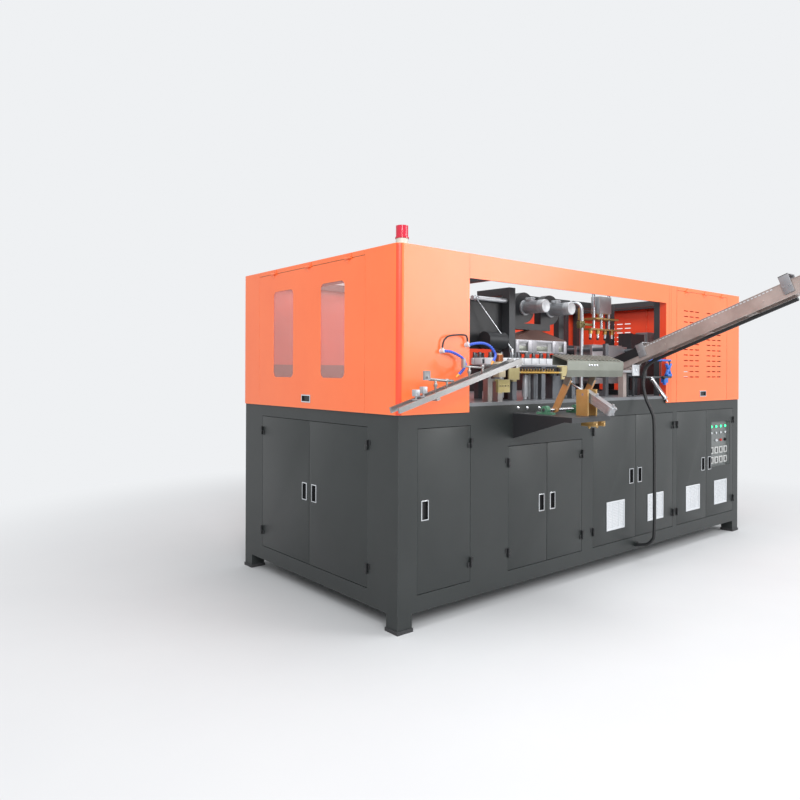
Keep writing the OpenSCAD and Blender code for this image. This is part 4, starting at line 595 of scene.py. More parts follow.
# %% [markdown]
# ## Cabinet doors
# A machine door is a folded pan: one sheet with its four edges bent back, so the corners of the
# front face are small radii that catch a line of light. The pan starts as a cube, its edges
# are bevelled, the back face is inset and pushed forward to leave a thin wall, and the
# openings for the pull and the vent are cut with a boolean. It is drawn once at its hinge line
# and then carried to its place, mirrored where the hinge is on the other side.

# %% Hinge lines, and blocks drawn from them
def front_hinge(x, flip, y=0):
    """From a hinge line's own metres to a place on the front, mirrored where flip is set."""
    return Matrix.Translation(on_machine(x, y, 0)) @ Matrix.Diagonal((-1 if flip else 1, 1, 1, 1))


def end_hinge(y, flip, x=0):
    """The same for the left end, where the drawn width runs along the machine's depth."""
    across = 1 if flip else -1
    turned = Matrix(((0, 1, 0, 0), (across, 0, 0, 0), (0, 0, 1, 0), (0, 0, 0, 1)))
    return Matrix.Translation(on_machine(x, y, 0)) @ turned


def block_at(name, low, high):
    """A plain start block between two corners, in millimetres from the hinge line."""
    nothing_selected()
    low, high = Vector(low) / 1000, Vector(high) / 1000
    bpy.ops.mesh.primitive_cube_add(size=1, location=(low + high) / 2)
    piece = bpy.context.active_object
    piece.name = name
    piece.scale = high - low
    return settle(piece)


def disc(radius, depth, place, sides=20, turned=(0, 0, 0)):
    """A short cylinder about a point, in millimetres from the hinge line."""
    nothing_selected()
    bpy.ops.mesh.primitive_cylinder_add(vertices=sides, radius=radius / 1000, depth=depth / 1000,
                                        location=[c / 1000 for c in place], rotation=turned)
    return settle(bpy.context.active_object)


def pick_faces(piece, direction):
    """Selects in edit mode the faces that look one way."""
    only(piece)
    for face in piece.data.polygons:
        face.select = face.normal.dot(Vector(direction)) > 0.99
    for edge in piece.data.edges:
        edge.select = False
    for point in piece.data.vertices:
        point.select = False
    bpy.ops.object.mode_set(mode="EDIT")
    bpy.ops.mesh.select_mode(type="FACE")


def dish(piece, facing, margin, sink):
    """Insets the face that looks one way and pushes its middle in, in millimetres."""
    pick_faces(piece, facing)
    bpy.ops.mesh.inset(thickness=margin / 1000, depth=0)
    bpy.ops.transform.translate(value=[-sink / 1000 * c for c in facing])
    bpy.ops.object.mode_set(mode="OBJECT")
    return piece


def cut(piece, tool):
    hole = piece.modifiers.new("opening", "BOOLEAN")
    hole.operation, hole.object, hole.solver = "DIFFERENCE", tool, "EXACT"
    bpy.context.view_layer.objects.active = piece
    bpy.ops.object.modifier_apply(modifier="opening")
    bpy.data.objects.remove(tool)
    return piece


# %% The pan of a door
def door_pan(name, width, low, high, openings):
    pan = block_at(name, (1.5, 0, low + 3), (width - 1.5, 20, high - 3))
    soften(pan, 0.0022, 3)
    dish(pan, (0, 1, 0), 2, 16.5)
    for number, (left, right_side, below, above) in enumerate(openings):
        cut(pan, block_at(f"cutter_{number}", (left, -2, below), (right_side, 24, above)))
    return pan


# %% [markdown]
# The pull is a chromed frame round a deep black cup, pressed into its opening. The frame is a
# rounded block with its middle cut out. The cup is a second box a hair inside it, whose front is
# inset and pushed back, and inset once more on its floor.

# %% The pull
def door_pull(name, middle, height, carrier, body, wide=56, tall=112, deep=16, bar=6.2, proud=3.0):
    x0, x1 = middle - wide / 2, middle + wide / 2
    rim = block_at(name + "_frame", (x0, -proud, height - tall / 2), (x1, 0.4, height + tall / 2))
    soften(rim, 0.0014, 3)
    cut(rim, block_at("finger_hole", (x0 + bar, -6, height - tall / 2 + bar),
                      (x1 - bar, 6, height + tall / 2 - bar)))
    inner = bar - 0.8
    cup = block_at(name + "_cup", (x0 + inner, -1.6, height - tall / 2 + inner),
                   (x1 - inner, deep, height + tall / 2 - inner))
    pick_faces(cup, (0, -1, 0))
    bpy.ops.mesh.inset(thickness=0.0012, depth=0)
    bpy.ops.mesh.extrude_region_move(TRANSFORM_OT_translate={"value": (0, (deep - 0.4) / 1000, 0)})
    bpy.ops.mesh.inset(thickness=0.004, depth=0)
    bpy.ops.transform.translate(value=(0, 0.0008, 0))
    bpy.ops.object.mode_set(mode="OBJECT")
    for part, material in ((rim, chrome), (cup, black_plastic)):
        carry(part, carrier)
        hand_over(part, material, body)


# %% [markdown]
# The vents are white moulded grilles with a raised rim. Behind the rim a field of thin slats
# leans down and outwards, which lets the air through and keeps drips out. Two thin bars stand
# in front of the slats.

# %% The vent
def door_vent(name, middle, carrier, body, low=280, wide=225, tall=206, rim_wide=12, rows=16):
    x0, x1 = middle - wide / 2, middle + wide / 2
    rim = block_at(name + "_rim", (x0, -6, low), (x1, 0, low + tall))
    soften(rim, 0.002, 3)
    cut(rim, block_at("grille_hole", (x0 + rim_wide, -9, low + rim_wide),
                      (x1 - rim_wide, 3, low + tall - rim_wide)))
    parts, held = [rim], rim_wide - 1
    step = (tall - 2 * rim_wide) / rows
    for row in range(rows):
        foot = low + rim_wide + row * step
        slat = block_at("slat", (x0 + held, -1.0, foot), (x1 - held, 0.6, foot + step * 0.86))
        parts.append(tilt(slat, math.radians(24), "X", (0, -0.0028, (foot + step / 2) / 1000)))
    for cross in (1 / 3, 2 / 3):
        at = x0 + wide * cross
        parts.append(block_at("bar", (at - 1.5, -3.6, low + held), (at + 1.5, -0.4, low + tall - held)))
    fit(name + "_grille", parts, white_plastic, body, carrier)


# %% [markdown]
# Each hinge is two small black halves on a pin. The half on the door turns with it, so it is
# part of this piece and rides on the door; the frame's half and the pin stay with the solid.

# %% The door's half of a hinge
def hinge_leaf(name, heights, carrier, body):
    parts = []
    for height in heights:
        barrel = disc(6, 28, (0, -8, height - 14), 28)
        pick_faces(barrel, (0, 0, 1))
        bpy.ops.mesh.inset(thickness=0.0035, depth=0)
        bpy.ops.mesh.extrude_region_move(TRANSFORM_OT_translate={"value": (0, 0, -0.027)})
        bpy.ops.object.mode_set(mode="OBJECT")
        parts += [soften(barrel, 0.0005, 2),
                  soften(block_at("wing", (0, -4, height - 28), (25, 0.2, height)), 0.0008, 2),
                  soften(block_at("web", (0, -8, height - 28), (4, -3, height)), 0.0005, 2)]
        for screw in (-21, -7):
            nothing_selected()
            bpy.ops.mesh.primitive_uv_sphere_add(segments=16, ring_count=8, radius=0.0035,
                                                 location=(0.017, -0.0036, (height + screw) / 1000))
            head = bpy.context.active_object
            head.scale.y = 0.45
            parts.append(settle(head))
    fit(name, parts, hinge_black, body, carrier)


# %% Hang the nine doors
door_foot, pull_inset = 188, 56
pull_hole_wide, pull_hole_tall = 50, 106
vent_hole_wide, vent_hole_low, vent_hole_high = 201, 292, 474
panel_hole = (62.5, 393.5, 607, 992)


def hang_door(body, carrier, width, high, pull_height, vent=None, panel=False):
    pull = width - pull_inset
    openings = [(pull - pull_hole_wide / 2, pull + pull_hole_wide / 2,
                 pull_height - pull_hole_tall / 2, pull_height + pull_hole_tall / 2)]
    if vent:
        openings.append((vent - vent_hole_wide / 2, vent + vent_hole_wide / 2, vent_hole_low, vent_hole_high))
    if panel:
        openings.append(panel_hole)
    pan = door_pan(body + "_pan", width, door_foot, high, openings)
    carry(pan, carrier)
    hand_over(pan, charcoal, body)
    door_pull(body + "_pull", pull, pull_height, carrier, body)
    if vent:
        door_vent(body + "_vent", vent, carrier, body)
    hinge_leaf(body + "_hinges", (300, high - 103), carrier, body)
    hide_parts(body)
    print(body, "hung:", len(pan.data.polygons), "faces")


hang_door("front_door", front_hinge(548, 1), 413, 1100, 646)
hang_door("low_door_left", front_hinge(876, 0), 377, 957, 573)
hang_door("low_door_right", front_hinge(1630, 1), 377, 957, 573)
hang_door("middle_door_left", front_hinge(1757, 0), 537.5, 1100, 646, vent=276.75)
hang_door("middle_door_right", front_hinge(2832, 1), 537.5, 1100, 646, vent=259.75)
hang_door("right_door_left", front_hinge(2892, 0), 486.5, 1100, 646, vent=259.25)
hang_door("right_door_right", front_hinge(3865, 1), 486.5, 1100, 646, vent=235.25, panel=True)
hang_door("end_door_front", end_hinge(272, 1), 612.5, 1100, 646)
hang_door("end_door_rear", end_hinge(1497, 0), 612.5, 1100, 646)

# %% [markdown]
# The two lifting hatches of the hood have the same kind of pull, laid flat and let into the sheet.

# %% Hatch pulls
for name, carrier in (("front_hatch", front_hinge(3286.5, 0, -15)), ("end_hatch", end_hinge(903, 0, -15))):
    door_pull(name + "_pull", 0, 1239, carrier, name, wide=107, tall=50, deep=8.4, bar=7.6, proud=4)

# %% [markdown]
# ## Solids that hold more than one metal
# Some solids are an assembly of several metals in one file: the blowing head has gold-zinc
# plates, bright guide rods, and brass nozzles with dark tips. Instead of cutting the solid, its
# finish asks where it is: inside a box on the drawing the metal changes. The boxes meet in
# the gaps between the parts, so no edge of a zone shows.

# %% Zoned finishes
head_metal = finish("head_metal", "C9CCD0", "B4B7BC", "E6E8EA", metal=0.9, rough=(0.15, 0.3), clouds=9, zones=[
    ((2230, 340, 1746), (2650, 460, 1760), "C7AE6E", "AE9454", 0.6),
    ((2230, 340, 1716.5), (2650, 460, 1746), "C8A05C", "B08A48", 0.7),
    ((2230, 340, 1660), (2650, 460, 1686), "4A4C50", "3A3C40", 0.6)])
support_metal = finish("support_metal", "BBA468", "A28B50", "DCCB98", metal=0.55, rough=(0.26, 0.42), clouds=9,
                       zones=[((2355, 355, 1845), (2525, 445, 2025), "C6C8CA", "B2B4B8", 0.85)])
conveyor_metal = finish("conveyor_metal", "6E7176", "56595E", "A2A5AA", metal=0.6, rough=(0.3, 0.48), clouds=8,
                        zones=[((980, 80, 1350), (1100, 140, 1460), "BDB183", "A89B6C", 0.35),
                               ((1500, 80, 1350), (1640, 140, 1460), "BDB183", "A89B6C", 0.35),
                               ((1100, 80, 1395), (1500, 104, 1425), "C9A34E", "B38C3C", 0.5),
                               ((860, 100, 1458), (1760, 480, 1466), "D9DADB", "C8C9CB", 0.4)])
rail_metal = finish("rail_metal", "A4A3A2", "8B8A8A", "CDCCCB", metal=0.85, rough=(0.22, 0.38), tooth=30,
                    stretch=(1, 14, 14), depth=0.06,
                    zones=[((800, 15, 1280), (920, 42, 1368), "C2B47E", "A89A64", 0.35)])
drive_metal = finish("drive_metal", "3E4044", "323438", "6C6F74", metal=0.3, rough=(0.35, 0.5), clouds=6,
                     zones=[((2925, 290, 1640), (3145, 420, 1760), "A9ABAE", "95979B", 0.8)])
gantry_metal = finish("gantry_metal", "3B3D40", "2F3134", "5E6165", metal=0.1, rough=(0.4, 0.55), clouds=4,
                      zones=[
    ((2164, 384, 1225), (2196, 530, 1985), "CFD2D6", "BCC0C5", 0.95),
    ((840, 262, 1872), (1164, 298, 1908), "D3D6DA", "C2C5CA", 0.95),
    ((836, 300, 1560), (1164, 320, 1885), "222326", "1A1B1D", 0.1),
    ((900, 190, 1560), (1110, 309, 1678), "2B2D30", "212326", 0.3)])
for name, material in (("blowing_head", head_metal), ("head_support", support_metal),
                       ("conveyor_frame", conveyor_metal), ("outlet_rails", rail_metal),
                       ("transfer_drive", drive_metal), ("inner_gantry", gantry_metal)):
    wear(nodes[name], material)
print("zoned finishes on six solids")

# %% [markdown]
# ## Blower motors
# Each hot-air blower is driven by a small foot motor: a finned body, a pressed fan cowl with
# vent rings at its free end, a terminal box on top and a flange on the scroll. The cowl starts
# as a cylinder whose edges are rounded and whose front face is inset in rings.

# %% A motor, made twice
def turn_to_y(piece, x, y0, y1, z, radius, sides=40):
    """A cylinder along Y on the drawing."""
    return rod(piece, (x, y0, z), (x, y1, z), radius, sides)


def motor(number, x):
    z, back = 1877, 420
    body = turn_to_y("body", x, 270, back, z, 40)
    cowl = turn_to_y("cowl", x, 223, 280, z, 47)
    soften(cowl, 0.006, 4)
    pick_faces(cowl, (0, -1, 0))
    for step in range(3):
        bpy.ops.mesh.inset(thickness=0.007, depth=0)
        bpy.ops.transform.translate(value=(0, 0.0012 if step % 2 == 0 else -0.0012, 0))
    bpy.ops.object.mode_set(mode="OBJECT")
    flange = turn_to_y("flange", x, 406, 420, z, 55)
    soften(flange, 0.002, 2)
    parts = [body, cowl, flange]
    for k in range(28):
        fin = slab("fin", (x - 0.8, 282, z + 38), (x + 0.8, 404, z + 46.5), edge=0.3)
        parts.append(tilt(fin, 2 * math.pi * k / 28, "Y", on_machine(x, 300, z)))
    box = slab("box", (x - 26, 342, z + 36), (x + 26, 390, z + 69), edge=3)
    lid = slab("lid", (x - 28, 340, z + 60), (x + 28, 392, z + 64), edge=1.5)
    gland = rod("gland", (x - 40, 366, z + 52), (x - 24, 366, z + 52), 7, 20, edge=1)
    parts += [box, lid, gland]
    return fit(f"blower_motor_{number}", parts, motor_silver)


motor_silver = finish("motor_silver", "BFC2C6", "9DA1A6", "E6E8EA", metal=0.3, rough=(0.28, 0.45), clouds=12,
                      zones=[((1400, 200, 1820), (1900, 246, 1940), "CBCED1", "B6B9BD", 0.3)])
motors = [motor(1, 1520), motor(2, 1814)]
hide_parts("blower_motors")
print("motors:", sum(len(m.data.polygons) for m in motors), "faces")

# %% [markdown]
# ## Preform chain
# Twenty-six links run round two wheels. Every link has a white carrier, a white plate on its
# outer side and a dark spindle that holds a preform by its neck. One link is modelled and then
# copied to each place on the loop, in two joined pieces so that each has its own finish.

# %% The links' places on the loop
pitch, wheel_teeth, straight = 76.2, 10, 8
wheel_radius = pitch / 2 / math.sin(math.pi / wheel_teeth)
left_wheel, right_wheel, chain_mid = 1000, 1000 + straight * pitch, 250
half_step = math.pi / wheel_teeth
link_places = []
for k in range(straight):
    x = left_wheel + (k + 0.5) * pitch
    link_places += [(x, chain_mid - wheel_radius, 0.0), (x, chain_mid + wheel_radius, math.pi)]
for k in range(wheel_teeth // 2):
    for centre, start in ((right_wheel, 0.0), (left_wheel, math.pi)):
        angle = start + (2 * k + 1) * half_step
        reach = wheel_radius * math.cos(half_step)
        link_places.append((centre + reach * math.sin(angle), chain_mid - reach * math.cos(angle), angle))


def along_loop(piece, name):
    copies = []
    for x, y, angle in link_places:
        copy = piece.copy()
        copy.data = piece.data.copy()
        bpy.context.scene.collection.objects.link(copy)
        place = on_machine(x, y, 1465)
        copy.data.transform(Matrix.Translation(place) @ Matrix.Rotation(angle, 4, "Z"))
        copies.append(copy)
    bpy.data.objects.remove(piece)
    return as_one(name, copies)


# %% Carrier and spindle
carrier = block_at("carrier", (-33.6, -10, 31.6), (33.6, 10, 38.4))
soften(carrier, 0.002, 2)
plate = soften(block_at("plate", (-33.6, -18.2, 0), (33.6, -9.8, 38)), 0.0012, 2)
carriers = along_loop(as_one("carrier", [carrier, plate]), "chain_carriers")
hand_over(carriers, white_plastic)
collar = soften(disc(15.2, 8, (0, 0, 42.5), 24), 0.0012, 2)
spindle = disc(11.2, 26, (0, 0, 59), 24)
pick_faces(spindle, (0, 0, 1))
bpy.ops.mesh.inset(thickness=0.0015, depth=0.003)
bpy.ops.mesh.inset(thickness=0.003, depth=0)
bpy.ops.mesh.inset(thickness=0.002, depth=-0.004)
bpy.ops.object.mode_set(mode="OBJECT")
soften(spindle, 0.0006, 1)
sleeve = soften(disc(11.2, 32, (0, 0, 16.2)), 0.001, 1)
spindles = along_loop(as_one("spindle", [collar, spindle, sleeve]), "chain_spindles")
spindle_dark = finish("spindle_dark", "5A5C60", "46484C", "8E9196", metal=0.7, rough=(0.25, 0.4), clouds=14)
hand_over(spindles, spindle_dark)
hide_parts("preform_chain")
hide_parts("preform_chain")
print("links:", len(link_places), "faces:", len(carriers.data.polygons) + len(spindles.data.polygons))

# %% [markdown]
# ## Air hoses
# The blue hoses are jointed: a row of ball-and-socket beads that keeps any bend it is given.
# Swept rings that swell and shrink show the beads. Each hose starts in a white elbow on the
# hood's front and ends in an orange nozzle.

# %% Hoses
def hose(number, points):
    path = even_steps(smooth_route([on_machine(*p) for p in points], 12), 0.002)
    beads = (0.0062, 0.0078, 0.0085, 0.0085, 0.0084, 0.0080, 0.0066, 0.0060)
    radii = [beads[i % len(beads)] for i in range(len(path))]
    tube = sweep(f"hose_{number}", path, radii, 18)
    hand_over(tube, hose_blue)
    run = (path[-1] - path[-6]).normalized()
    tip_path = [path[-1] - 0.002 * run + run * d for d in (0, 0.006, 0.010, 0.024, 0.032)]
    tip = sweep(f"hose_tip_{number}", tip_path, [0.0078, 0.0084, 0.0066, 0.0042, 0.0036], 18)
    hand_over(tip, nozzle_orange)
    x, y, z = points[0]
    fit(f"hose_elbow_{number}", [rod("elbow", (x, -14, z), (x, y - 2, z), 11, 24, edge=1.5),
                                 rod("boss", (x, -30, z + 4), (x, -30, z + 18), 7, 20, edge=1),
                                 rod("ring", (x, -15, z), (x, -20, z), 13.5, 24, edge=1)],
        white_plastic)
    return tube


nozzle_orange = finish("nozzle_orange", "F2A23A", "E0902C", "FFCB85", rough=(0.25, 0.35), clouds=20,
                       wear_and_highlight_amount=0)
hose_one = hose(1, [(292, -45, 1527), (340, -46, 1524), (386, -46, 1511), (425, -52, 1490), (442, -60, 1457),
                    (412, -72, 1424), (357, -90, 1395)])
hose_two = hose(2, [(488, -45, 1567), (545, -45, 1577), (609, -46, 1578), (660, -50, 1560), (692, -55, 1524),
                    (682, -66, 1498), (642, -85, 1471)])
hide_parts("air_nozzles")
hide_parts("air_nozzles")

# %% [markdown]
# ## Control panel
# Behind the opening of the last door sits the control plate, with four lit green lamps in grey
# bezels, four small knobs and eight framed counters. The push buttons and the selector are
# solids already. A lamp's lens is a low dome, made from a sphere that is cut flat by bisect.

# %% Lamps, switches and counters
def panel_place(across, height, depth=26):
    """A place on the plate: across from its left edge as seen, and up from its lower edge."""
    return (3865 - panel_hole[0] - across, depth, panel_hole[2] + height)


def dome(name, x, y, z, radius, rise):
    nothing_selected()
    bpy.ops.mesh.primitive_uv_sphere_add(segments=28, ring_count=16, radius=radius / 1000,
                                         location=on_machine(x, y, z), rotation=(math.pi / 2, 0, 0))
    piece = bpy.context.active_object
    piece.name = name
    piece.scale = (1, 1, rise / radius)
    settle(piece)
    edit_all(piece)
    bpy.ops.mesh.bisect(plane_co=on_machine(x, y, z), plane_no=(0, 1, 0), use_fill=True, clear_outer=True)
    bpy.ops.object.mode_set(mode="OBJECT")
    return piece


column = (panel_hole[1] - panel_hole[0]) / 4
bezels, lenses, knobs, frames, windows = [], [], [], [], []
for i in range(4):
    x, y, z = panel_place((i + 0.5) * column, 340)
    bezels.append(rod("bezel", (x, y, z), (x, y - 6, z), 14, 28, edge=1.2))
    lenses.append(dome("lens", x, y - 6, z, 11.5, 8))
    x, y, z = panel_place((i + 0.5) * column, 285)
    bezels.append(rod("bezel", (x, y, z), (x, y - 4, z), 13, 28, edge=1))
    knobs.append(rod("knob", (x, y - 4, z), (x, y - 11, z), 9.6, 24, edge=1.5))
    for row in (135, 50):
        x, y, z = panel_place((i + 0.5) * column, row)
        frame_piece = slab("frame", (x - 31, y - 10, z - 30), (x + 31, y, z + 30), edge=1.5)
        cut(frame_piece, slab("window_cut", (x - 15, y - 14, z - 19), (x + 15, y - 5, z + 19), edge=0))
        frames.append(frame_piece)
        windows.append(slab("window", (x - 14, y - 6.5, z - 18), (x + 14, y - 4.5, z + 18), edge=0.4))
fit("panel_bezels", bezels, plate_grey, "right_door_right")
panel_lenses = fit("panel_lenses", lenses, lamp_green, "right_door_right")
fit("panel_knobs", knobs, white_plastic, "right_door_right")
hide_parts("panel_lamps")
meter_frames = fit("meter_frames", frames, meter_white, "right_door_right")
fit("meter_windows", windows, black_plastic, "right_door_right")
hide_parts("panel_meters")
print("lamps", len(lenses), "counters", len(frames))

# %% [markdown]
# ## Small fittings inside the hood
# The frame carries many small parts that a shop bolts on at the end: a stay rod from the cross
# tube, a clamp bracket on the pole, the guide rollers and the sensor plate under the chute, and
# blue air pipe with its fittings. Each one ends on the part that holds it.

# %% Stay rod and pole clamp
fit("stay_rod", [
    rod("stay", (873, 272, 1884), (1133, 196, 1559), 4.5, 16),
    rod("stay_post", (1133, 196, 1458), (1133, 196, 1566), 8, 20, edge=1),
    slab("stay_foot", (1113, 176, 1458), (1153, 216, 1464), edge=1),
    rod("stay_eye", (866, 280, 1890), (882, 280, 1890), 19, 24, edge=1.5)], shaft_steel)
olive = finish("olive_bracket", "7D7448", "675F38", "A79E74", metal=0.3, rough=(0.35, 0.5), clouds=14)
fit("pole_clamp", [
    rod("collar", (2180, 400, 1760), (2180, 400, 1812), 24, 28, edge=2),
    slab("arm", (2100, 372, 1772), (2172, 384, 1800), edge=2),
    slab("ear", (2092, 352, 1752), (2120, 384, 1806), edge=2),
    rod("bolt", (2106, 344, 1790), (2106, 396, 1790), 6, 6, edge=0.6),
    rod("bolt", (2180, 366, 1786), (2180, 380, 1786), 6, 6, edge=0.6),
    slab("arm_right", (2186, 378, 1778), (2300, 390, 1796), edge=2)], olive)
print("stay rod and clamp fitted")

# %% Guide rollers and sensor plate by the chute
rollers = []
for x in (2306, 2328, 2350):
    rollers += [rod("roller", (x, 0, 1474), (x, 0, 1536), 8.5, 24, edge=1.5),
                rod("pin", (x, 0, 1466), (x, 0, 1544), 3.5, 14)]
fit("guide_rollers", rollers, chrome)
fit("roller_arm", [
    slab("bar", (2288, -12, 1460), (2362, 12, 1467), edge=1),
    slab("bar", (2296, -10, 1543), (2360, 10, 1549), edge=1),
    slab("web", (2288, -12, 1400), (2296, 12, 1549), edge=1),
    slab("reach", (2262, -8, 1404), (2292, 8, 1420), edge=1),
    slab("reach", (2262, -8, 1404), (2276, 72, 1420), edge=1)], black_plastic)
sensor = slab("sensor_plate", (2186, -44, 1388), (2274, -34, 1470), edge=3)
dish(sensor, (0, -1, 0), 10, 2)
screws = [rod("screw", (x, -47, z), (x, -40, z), 3.4, 14, edge=0.6)
          for x in (2196, 2264) for z in (1398, 1460)]
eye = rod("eye", (2230, -50, 1429), (2230, -40, 1429), 12, 28, edge=1.5)
arm = slab("arm", (2216, -36, 1412), (2244, 66, 1430), edge=1)
fit("sensor_plate", [sensor, eye, arm] + screws, white_plastic)

# %% [markdown]
# Blue air pipe runs along the front of the mould station, above a blue yoke and a small valve.
# It is drawn as a route through a few points and swept like the cords.

# %% Blue pipe, its posts and the yoke
pipe_route = smooth_route([on_machine(x, -50, 1507) for x in (2330, 2420, 2520, 2620, 2700)], 8)
hand_over(sweep("blue_pipe", pipe_route, [0.008] * len(pipe_route), 14), pipe_blue)
posts = [rod("post", (x, y0, 1230), (x, y0, 1400), 10, 22, edge=1) for x, y0 in ((2337, 100), (2419, 100))]
posts.append(slab("rail", (2318, 88, 1396), (2440, 112, 1412), edge=1.5))
hangers = (2352, 2560, 2684)
posts += [rod("hanger", (x, -50, 1499), (x, -50, 1380), 4, 14) for x in hangers]
posts += [slab("shelf", (2330, -62, 1370), (2700, -38, 1384), edge=1.5),
          slab("bridge", (2420, -50, 1370), (2436, 100, 1384), edge=1),
          slab("bridge", (2420, 88, 1370), (2436, 112, 1400), edge=1)]
posts += [rod("nut", (x, -50, 1507), (x, -50, 1493), 10, 6, edge=0.8) for x in hangers]
fit("pipe_posts", posts, frame_grey)
yoke = [slab("yoke", (2640, -66, 1384), (2700, -34, 1404), edge=2),
        slab("valve", (2586, -66, 1334), (2642, -34, 1371), edge=3),
        rod("valve_cap", (2614, -50, 1336), (2614, -50, 1318), 13, 26, edge=2)]
for low, high in (((2640, -50, 1392), (2668, -50, 1440)), ((2700, -50, 1392), (2672, -50, 1440)),
                  ((2668, -50, 1440), (2640, -50, 1480)), ((2672, -50, 1440), (2704, -50, 1480))):
    yoke.append(rod("leg", low, high, 12, 22, edge=2))
fit("blue_yoke", yoke, pipe_blue)
fit("small_ram", [
    rod("barrel", (2400, -70, 1360), (2400, -178, 1222), 15, 28, edge=2),
    rod("stem", (2400, -178, 1222), (2400, -196, 1200), 6, 18, edge=1),
    rod("cap", (2400, -62, 1370), (2400, -74, 1355), 17, 28, edge=1.5),
    rod("cap", (2400, -170, 1232), (2400, -180, 1220), 17, 28, edge=1.5),
    rod("eye", (2388, -60, 1372), (2412, -60, 1372), 9, 22, edge=1.5)], shaft_steel)
fit("clamp_knob", [rod("knob", (2560, -62, 1377), (2560, -84, 1372), 13, 24, edge=3),
                             rod("neck", (2560, -50, 1377), (2560, -64, 1377), 6, 18)],
    black_plastic)
print("fittings at the mould station ready")

# %% [markdown]
# Under the take-out shelf the bearings' studs come through into gold-plated clips. On the outlet
# rails small posts hold two short guide bars that keep the bottles upright, and two photo cells.

# %% Clips under the shelf
clips = []
for x in (1106, 1182):
    clips += [slab("clip", (x - 20, -470, 1112), (x + 20, -380, 1140), edge=1.5),
              slab("tongue", (x - 8, -478, 1094), (x + 8, -372, 1114), edge=1.5),
              rod("stud", (x, -425, 1080), (x, -425, 1142), 5, 16, edge=0.8),
              rod("nut", (x, -425, 1084), (x, -425, 1094), 9, 6, edge=0.8)]
fit("shelf_clips", clips, gold_plate)

# %% Guide bars on the outlet rails
slope = math.radians(15.8)


def along_rail(back, side_y, lift):
    """A place above the rails: back from their upper end, in millimetres along the slope."""
    return (800 - back * math.cos(slope) - lift * math.sin(slope), side_y,
            1494 - back * math.sin(slope) + lift * math.cos(slope))


def rail_stand(x, top):
    """A stem from the middle of the rails up to a bar, with its foot across both rails."""
    back = (800 - x) / math.cos(slope)
    foot = along_rail(back, -132, -12)
    return [rod("stem", (x, -132, foot[2]), (x, -132, top), 6.5, 18, edge=1),
            rod("collar", (x, -132, foot[2] + 34), (x, -132, foot[2] + 52), 10.5, 20, edge=1.2),
            rod("foot", (x, -106, foot[2] + 3), (x, -159, foot[2] + 3), 5, 16, edge=0.6)]


low_bar = rail_stand(146, 1368) + rail_stand(230, 1364)
low_bar.append(rod("bar", (100, -132, 1371), (276, -132, 1361), 8, 18, edge=1))
high_bar = rail_stand(506, 1440) + rail_stand(400, 1441)
high_bar.append(rod("bar", (352, -132, 1443), (516, -132, 1434), 6, 18, edge=1))
fit("guide_bars", low_bar + high_bar, rail_metal)
bracket = slab("plate", (62, -140, 1366), (104, -124, 1416), edge=1.5)
dish(bracket, (0, -1, 0), 8, 4)
clip = slab("clip", (346, -142, 1434), (364, -122, 1484), edge=1.5)
bracket_nut = rod("nut", (84, -146, 1382), (84, -138, 1382), 7, 6, edge=0.6)
fit("rail_brackets", [bracket, clip, bracket_nut], oven_steel)
cells = []
for x in (9, 61):
    back = (800 - x) / math.cos(slope)
    seat = along_rail(back, -132, -8)[2]
    cells += [slab("case", (x - 15, -148, seat + 20), (x + 15, -116, seat + 56), edge=2.5),
              rod("eye", (x, -152, seat + 38), (x, -146, seat + 38), 8, 24, edge=1),
              rod("stem", (x, -132, seat), (x, -132, seat + 24), 5, 16, edge=0.8),
              rod("foot", (x, -106, seat + 2), (x, -159, seat + 2), 5, 16, edge=0.6)]
fit("photo_cells", cells, motor_silver)

# %% Copper coil by the gold block
turns, coil_radius, coil_tall = 7, 22, 42
coil_path = []
for k in range(turns * 16 + 1):
    angle = 2 * math.pi * k / 16
    coil_path.append(on_machine(858 + coil_radius * math.cos(angle), 60 + coil_radius * math.sin(angle),
                                1476 + coil_tall * k / (turns * 16)))
coil = sweep("copper_coil", coil_path, [0.0028] * len(coil_path), 10)
copper_wire = finish("copper_wire", "B26B3F", "96562F", "DFA27A", metal=0.8, rough=(0.22, 0.36), clouds=30)
hand_over(coil, copper_wire)
cream = finish("coil_core_cream", "D8CBB0", "C6B898", "EFE6D2", rough=(0.35, 0.5), clouds=20)
fit("coil_core", [rod("core", (858, 60, 1458), (858, 60, 1526), 17, 28, edge=2),
                  slab("foot", (828, 34, 1380), (888, 86, 1474), edge=2)], cream)
print("rail fittings ready")

# %% [markdown]
# ## Feed chute
# The chute's sides carry a folded lip along both edges and a line of small white wear strips,
# and two straps hold it. All of it is drawn along the chute and then turned to its slope.

